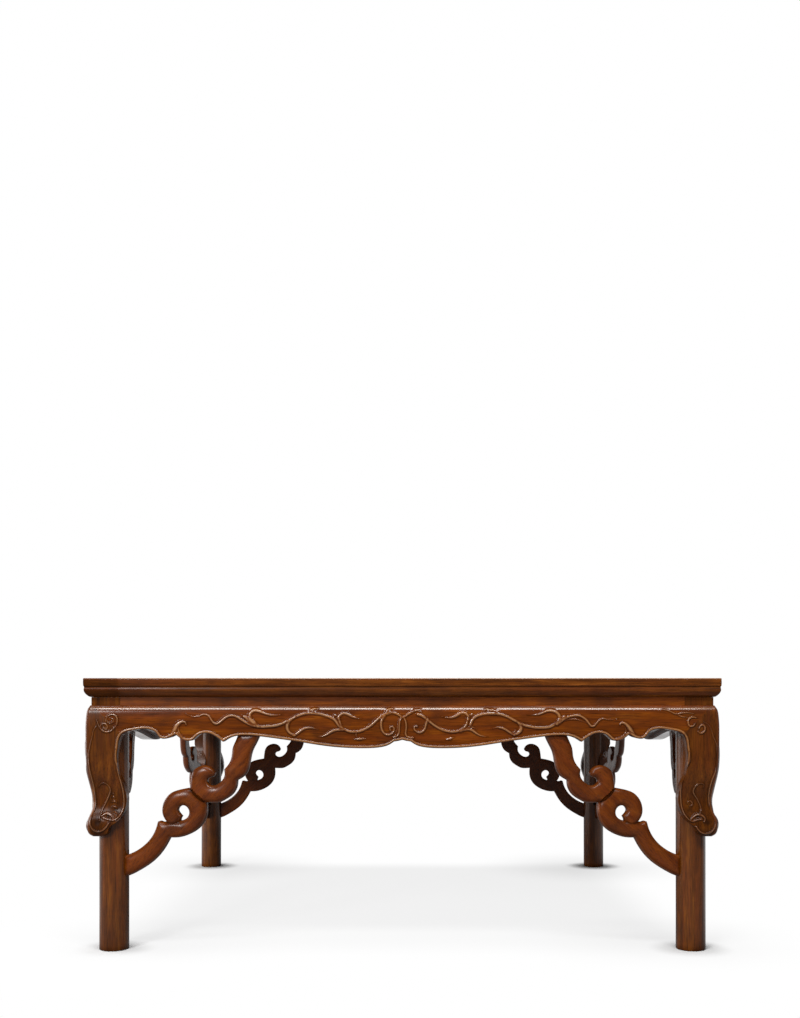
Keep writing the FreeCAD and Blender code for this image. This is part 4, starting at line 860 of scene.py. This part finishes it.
def brace():
    """A scroll brace: the board inside its outline, less the eye. Both faces are crowned: a
    quarter circle at the arris, then a parabola towards the middle of each arm, cut by a V where
    one scroll passes over the other. The scroll that passes under lies deepest beside that V,
    and rises from it as an exponential. The walls join the two faces."""
    rings = [brace_outline(BRACE_LINE, 2.2), brace_outline(EYE_LINE, 1.6)]
    rims = [np.concatenate([ring, ring[:1]]) for ring in rings]
    creases = [smooth_line(pairs(crease, (BRACE_RUN, BRACE_RISE)), 1.4) for crease in BRACE_CREASES]

    def on_board(spots):
        """Which spots lie in the wood."""
        return inside_of(spots, rings[0]) & ~inside_of(spots, rings[1])

    def to_rim(spots):
        """Distance to the outline or the eye."""
        return np.minimum(*(nearest(spots, rim)[0] for rim in rims))

    # Points: the outlines, rows close inside them, a lattice, and the creases with their banks.
    lattice_step = 2.6
    spots = list(rings)
    for inset in (0.3, 0.9, 1.9, 3.3):
        for ring in rings:
            ahead = np.roll(ring, -1, axis=0) - np.roll(ring, 1, axis=0)
            square = np.stack([ahead[:, 1], -ahead[:, 0]], axis=1)
            square = square / np.linalg.norm(ahead, axis=1)[:, None]
            for side in (1.0, -1.0):
                moved = ring + side * inset * square
                moved = moved[on_board(moved)]
                spots.append(moved[to_rim(moved) > 0.93 * inset])
    low, high = rings[0].min(axis=0), rings[0].max(axis=0)
    lines = [np.arange(low[k], high[k], lattice_step) for k in (0, 1)]
    lattice = np.stack(np.meshgrid(*lines), axis=-1).reshape(-1, 2)
    lattice = lattice[on_board(lattice)]
    spots.append(lattice[to_rim(lattice) > 4.5])
    for line in creases:
        line = line[2:-2]
        across = (line[-1] - line[0])[::-1] * (-1.2, 1.2) / np.linalg.norm(line[-1] - line[0])
        spots += [line, line + across, line - across]
    edges = []
    for first, ring in zip((0, len(rings[0])), rings):
        edges += [(first + index, first + (index + 1) % len(ring)) for index in range(len(ring))]
    spots = [Vector(spot) for spot in np.concatenate(spots).tolist()]
    found, _, faces, _, _, _ = delaunay_2d_cdt(spots, edges, [], 0, 1e-5)
    flat = np.array([tuple(spot) for spot in found])
    faces = np.array([face for face in faces if len(face) == 3])
    faces = faces[on_board(flat[faces].mean(axis=1))]

    gap = to_rim(flat)
    crease = np.minimum(*(nearest(flat, line)[0] for line in creases))
    over = creases[0]
    under_deep = 2.6
    heading = over[-1] - over[0]
    turned = heading[0] * (flat[:, 1] - over[0, 1]) - heading[1] * (flat[:, 0] - over[0, 0])
    under = turned < -1.0
    beside = nearest(flat, over)[0]
    sunk = under * under_deep * np.exp(-beside / 7.0) * np.clip(beside / 1.2, 0.0, 1.0)

    def crown(edge_round, rise, reach):
        """Height of a face: a quarter circle at the arris and a parabola behind it."""
        near = np.clip(gap / edge_round, 0.0, 1.0)
        arris = edge_round * (np.sqrt(1 - (1 - near) ** 2) - 1)
        return arris - rise * (1 - np.clip(gap / reach, 0.0, 1.0)) ** 2

    cut = 1.2 * np.clip(1 - crease / 3.0, 0.0, 1.0) ** 1.3
    front = -BRACE_OUT - crown(4.6, 3.2, 13.0) + sunk + cut
    behind = -BRACE_OUT + BRACE_THICK + crown(1.6, 0.5, 8.0)
    total = len(flat)
    # The walls follow the outlines, turned by the way that a front triangle uses the same edge.
    used = {tuple(edge) for face in faces.tolist() for edge in zip(face, face[1:] + face[:1])}
    walls = [[here, there, there + total, here + total] for here, there in edges]
    walls = [wall[::-1] if (wall[0], wall[1]) in used else wall for wall in walls]
    faces = faces.tolist() + (faces[:, ::-1] + total).tolist() + walls
    # The arrises are paler as worn and as a painted highlight; the V of each crease, the scroll
    # that passes under and a band 4 mm inside the outline are darkened as painted shade.
    wear = 0.5 * np.exp(-(gap - 1.4) ** 2) - 0.7 * np.clip(1.1 - crease / 2.4, 0.0, 1.0)
    wear = wear - 0.30 * under * np.exp(-beside / 6.0) - 0.22 * np.exp(-((gap - 4.0) / 1.6) ** 2)
    along, up = np.tile(flat, (2, 1)).T
    inward = np.concatenate([front, behind])
    cos, sin = math.cos(BRACE_SWING), math.sin(BRACE_SWING)
    placed = np.stack([-LEG + along * cos + inward * sin, -LEG - along * sin + inward * cos,
                       BRACE_FLOOR + up], axis=1)
    return [outward(placed, faces, np.concatenate([wear, np.zeros(total)]))]


# The pieces

SIDES = ["front", "right", "back", "left"]


def by_side(part, offset, tones, **finish):
    """The wood of a part on each side of the table, with its grain along X or along Y."""
    along = [wood(f"waxed_hardwood_{part}_{axis.lower()}", GRAIN[axis], offset, tones, **finish)
             for axis in "XY"]
    return {side: along[index % 2] for index, side in enumerate(SIDES)}


def dress(node, material):
    """A CAD node kept as it is, in a real material."""
    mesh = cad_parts[node].data
    mesh.materials.clear()
    mesh.materials.append(material)


wood_frame = by_side("frame", (0.3, 0.11, 0.05), FRAME_TONES, streaky=0.62)
wood_apron = by_side("apron", (0.7, 0.02, 0.09), APRON_TONES, gloss=0.15)
wood_waist = by_side("waist", (0.1, 0.31, 0.02), WAIST_TONES, gloss=0.36)
wood_leg = wood("waxed_hardwood_leg", GRAIN["Z"], (0.2, 0.13, 0.4), LEG_TONES, shine=0.24)
wood_boards = [wood(f"waxed_hardwood_board_{number}", GRAIN["X"],
                    (0.37 * number, 0.21 * number, 0.03), BOARD_TONES, smudged=0.22)
               for number in (1, 2, 3)]
wood_batten = wood("planed_hardwood_batten", GRAIN["Y"], (0.5, 0.4, 0.2), RAW_TONES, gloss=0.6,
                   shine=0.1)
brace_turns = {"front_at_left": (0.0, BRACE_SLOPE, 0.0),
               "front_at_right": (0.0, -BRACE_SLOPE, 0.0),
               "left_at_front": (-BRACE_SLOPE, 0.0, -QUARTER),
               "left_at_back": (BRACE_SLOPE, 0.0, -QUARTER)}
wood_brace = {place: wood(f"waxed_hardwood_brace_{place}", turn, (0.15, 0.27, 0.33), BRACE_TONES,
                          gloss=0.25, shine=0.2) for place, turn in brace_turns.items()}
same_slope = {"back_at_left": "front_at_left", "back_at_right": "front_at_right",
              "right_at_front": "left_at_front", "right_at_back": "left_at_back"}

members = ["stile_front", "rail_right", "stile_back", "rail_left"]
for turns, (side, node) in enumerate(zip(SIDES, members)):
    shells = quarter_turns(frame_member(turns * 1.7, side == "front"), turns)
    piece(f"frame_{side}", shells, wood_frame[side], [node], 50)

for number, place in enumerate(["front", "middle", "back"]):
    piece(f"top_board_{place}", board(number), wood_boards[number], [f"board_{place}"],
          10)

apron_shells = apron()
for turns, side in enumerate(SIDES):
    piece(f"carved_apron_{side}", quarter_turns(apron_shells, turns), wood_apron[side],
          [f"apron_{side}"], 60)

leg_shells = leg()
for turns, corner in enumerate(["front_left", "front_right", "back_right", "back_left"]):
    piece(f"carved_leg_{corner}", quarter_turns(leg_shells, turns), wood_leg,
          [f"leg_{corner}"], 60)

left_brace = brace()
brace_places = [
    (left_brace, ["front_at_left", "right_at_front", "back_at_right", "left_at_back"]),
    (flipped(left_brace), ["front_at_right", "right_at_back", "back_at_left", "left_at_front"])]
for shells, places in brace_places:
    for turns, place in enumerate(places):
        piece(f"scroll_brace_{place}", quarter_turns(shells, turns),
              wood_brace[same_slope.get(place, place)], [f"brace_{place}"], 45)

for side in SIDES:
    dress(f"waist_{side}", wood_waist[side])
for place in ("left", "middle", "right"):
    dress(f"batten_{place}", wood_batten)


# Floor, backdrop, lamps and camera

WHITE = linear("#ffffff")
MIRRORED = 0.12         # share of the white that waxed wood mirrors in front of the table
FLOOR_HALF = 30.0       # middle of the floor to its edge, in metres


def white_rays(tree, mirrored=MIRRORED):
    """How much of the white background a ray sees: all of it from the camera or through glass,
    and a lesser share mirrored in wax, where a real room is dimmer than white paper."""
    camera, glossy, through = (add(tree, "LightPath", take=f"Is {ray} Ray")
                               for ray in ("Camera", "Glossy", "Transmission"))
    seen = add(tree, "Math", {"operation": "MULTIPLY"}, Value=glossy, Value_001=mirrored)
    for other in (camera, through):
        seen = add(tree, "Math", {"operation": "MAXIMUM"}, Value=seen, Value_001=other)
    return seen


def paper(name):
    """White studio paper, matt. The camera and mirror images see mostly its own plain white, and
    wholly so away from the table, with what is left of the shadows laid over it: a little under
    the top, and more of them close to the feet. Wood mirrors more of the white beside and
    behind the table than of that in front. Distances here are in metres."""
    material, tree = blank(name)
    seen = add(tree, "LightPath", take="Is Camera Ray")
    grey = add(tree, "Mix", {"data_type": "RGBA"}, Factor_Float=seen, A_Color=linear("#808080"),
               B_Color=linear("#cccccc"))
    matt = add(tree, "BsdfDiffuse", Color=grey)
    plain = add(tree, "Emission", Color=WHITE, Strength=1.0)
    place = add(tree, "TexCoord", take="Object")
    quarter = add(tree, "VectorMath", {"operation": "ABSOLUTE"}, Vector=place)
    across, deep = (add(tree, "SeparateXYZ", take=axis, Vector=quarter) for axis in "XY")
    to_back = add(tree, "SeparateXYZ", take="Y", Vector=place)
    away = add(tree, "Math", {"operation": "MAXIMUM"}, Value=across, Value_001=deep)
    to_foot = add(tree, "VectorMath", {"operation": "DISTANCE"}, Vector=quarter,
                  Vector_001=(LEG * MM, LEG * MM, 0.0))
    under_top, contact, foot_shade, beside, behind = (
        add(tree, "MapRange", {"interpolation_type": "SMOOTHSTEP"}, Value=value, From_Min=low,
            From_Max=high, To_Min=at_low, To_Max=at_high)
        for value, low, high, at_low, at_high in (
            (away, 0.38, 0.52, 0.84, 1.0), (to_foot, 0.022, 0.07, 0.0, 1.0),
            (to_foot, 0.022, 0.30, 0.80, 1.0), (across, 0.35, 0.8, 0.0, 1.0),
            (to_back, -0.7, -0.1, 0.0, 0.9)))
    beside = add(tree, "Math", {"operation": "MULTIPLY"}, Value=beside, Value_001=behind)
    mirrored = add(tree, "Mix", Factor_Float=beside, A_Float=MIRRORED, B_Float=1.0)
    share = under_top
    for other in (contact, foot_shade, white_rays(tree, mirrored)):
        share = add(tree, "Math", {"operation": "MULTIPLY"}, Value=share, Value_001=other)
    mixed = add(tree, "MixShader", Fac=share, Shader=matt, Shader_001=plain)
    add(tree, "OutputMaterial", Surface=mixed)
    return material


floor_mesh = bpy.data.meshes.new("studio_floor")
corners = [(x * FLOOR_HALF, y * FLOOR_HALF, 0) for x, y in ((-1, -1), (1, -1), (1, 1), (-1, 1))]
floor_mesh.from_pydata(corners, [], [(0, 1, 2, 3)])
floor_mesh.materials.append(paper("studio_paper"))
floor = bpy.data.objects.new("studio_floor", floor_mesh)
bpy.context.collection.objects.link(floor)

world = bpy.data.worlds.new("studio")
bpy.context.scene.world = world
world.use_nodes = True
sky = world.node_tree
sky.nodes.clear()
fill, white = (add(sky, "Background", Color=WHITE, Strength=strength) for strength in (0.26, 1.0))
add(sky, "OutputWorld",
    Surface=add(sky, "MixShader", Fac=white_rays(sky), Shader=fill, Shader_001=white))

# Soft boxes: rectangular area lamps with their place, target, size in metres and power in watts.
for name, place, target, size, power in (
        ("overhead_softbox", (-0.05, -1.55, 2.05), (0.0, -0.48, 0.37), (2.0, 0.34), 50.0),
        ("top_softbox", (0.0, 0.0, 2.6), (0.0, 0.0, 0.4), (1.1, 1.1), 50.0),
        ("left_softbox", (-2.5, 0.1, 0.75), (0.0, 0.0, 0.3), (2.4, 1.4), 42.0),
        ("front_left_softbox", (-2.2, -4.6, 2.3), (0.0, 0.0, 0.25), (0.9, 1.2), 165.0)):
    light = bpy.data.lights.new(name, "AREA")
    light.shape = "RECTANGLE"
    light.size, light.size_y = size
    light.energy = power
    lamp = bpy.data.objects.new(name, light)
    lamp.location = place
    lamp.rotation_euler = (Vector(target) - Vector(place)).to_track_quat("-Z", "Y").to_euler()
    bpy.context.collection.objects.link(lamp)

# The camera looks level at the front apron, as the photograph does, and its shift frames it.
FRAME_HIGH = 1018       # height of the picture in pixels
camera_data = bpy.data.cameras.new("camera")
camera_data.sensor_width = 36.0
camera_data.lens = 40.07
camera_data.shift_x = -2.4 / FRAME_HIGH
camera_data.shift_y = 194.5 / FRAME_HIGH
camera = bpy.data.objects.new("camera", camera_data)
camera.location = (0.0, -2.182, 0.3762)
camera.rotation_euler = (QUARTER, 0.0, 0.0)
bpy.context.collection.objects.link(camera)
bpy.context.scene.camera = camera

bpy.context.scene.view_settings.view_transform = "Standard"
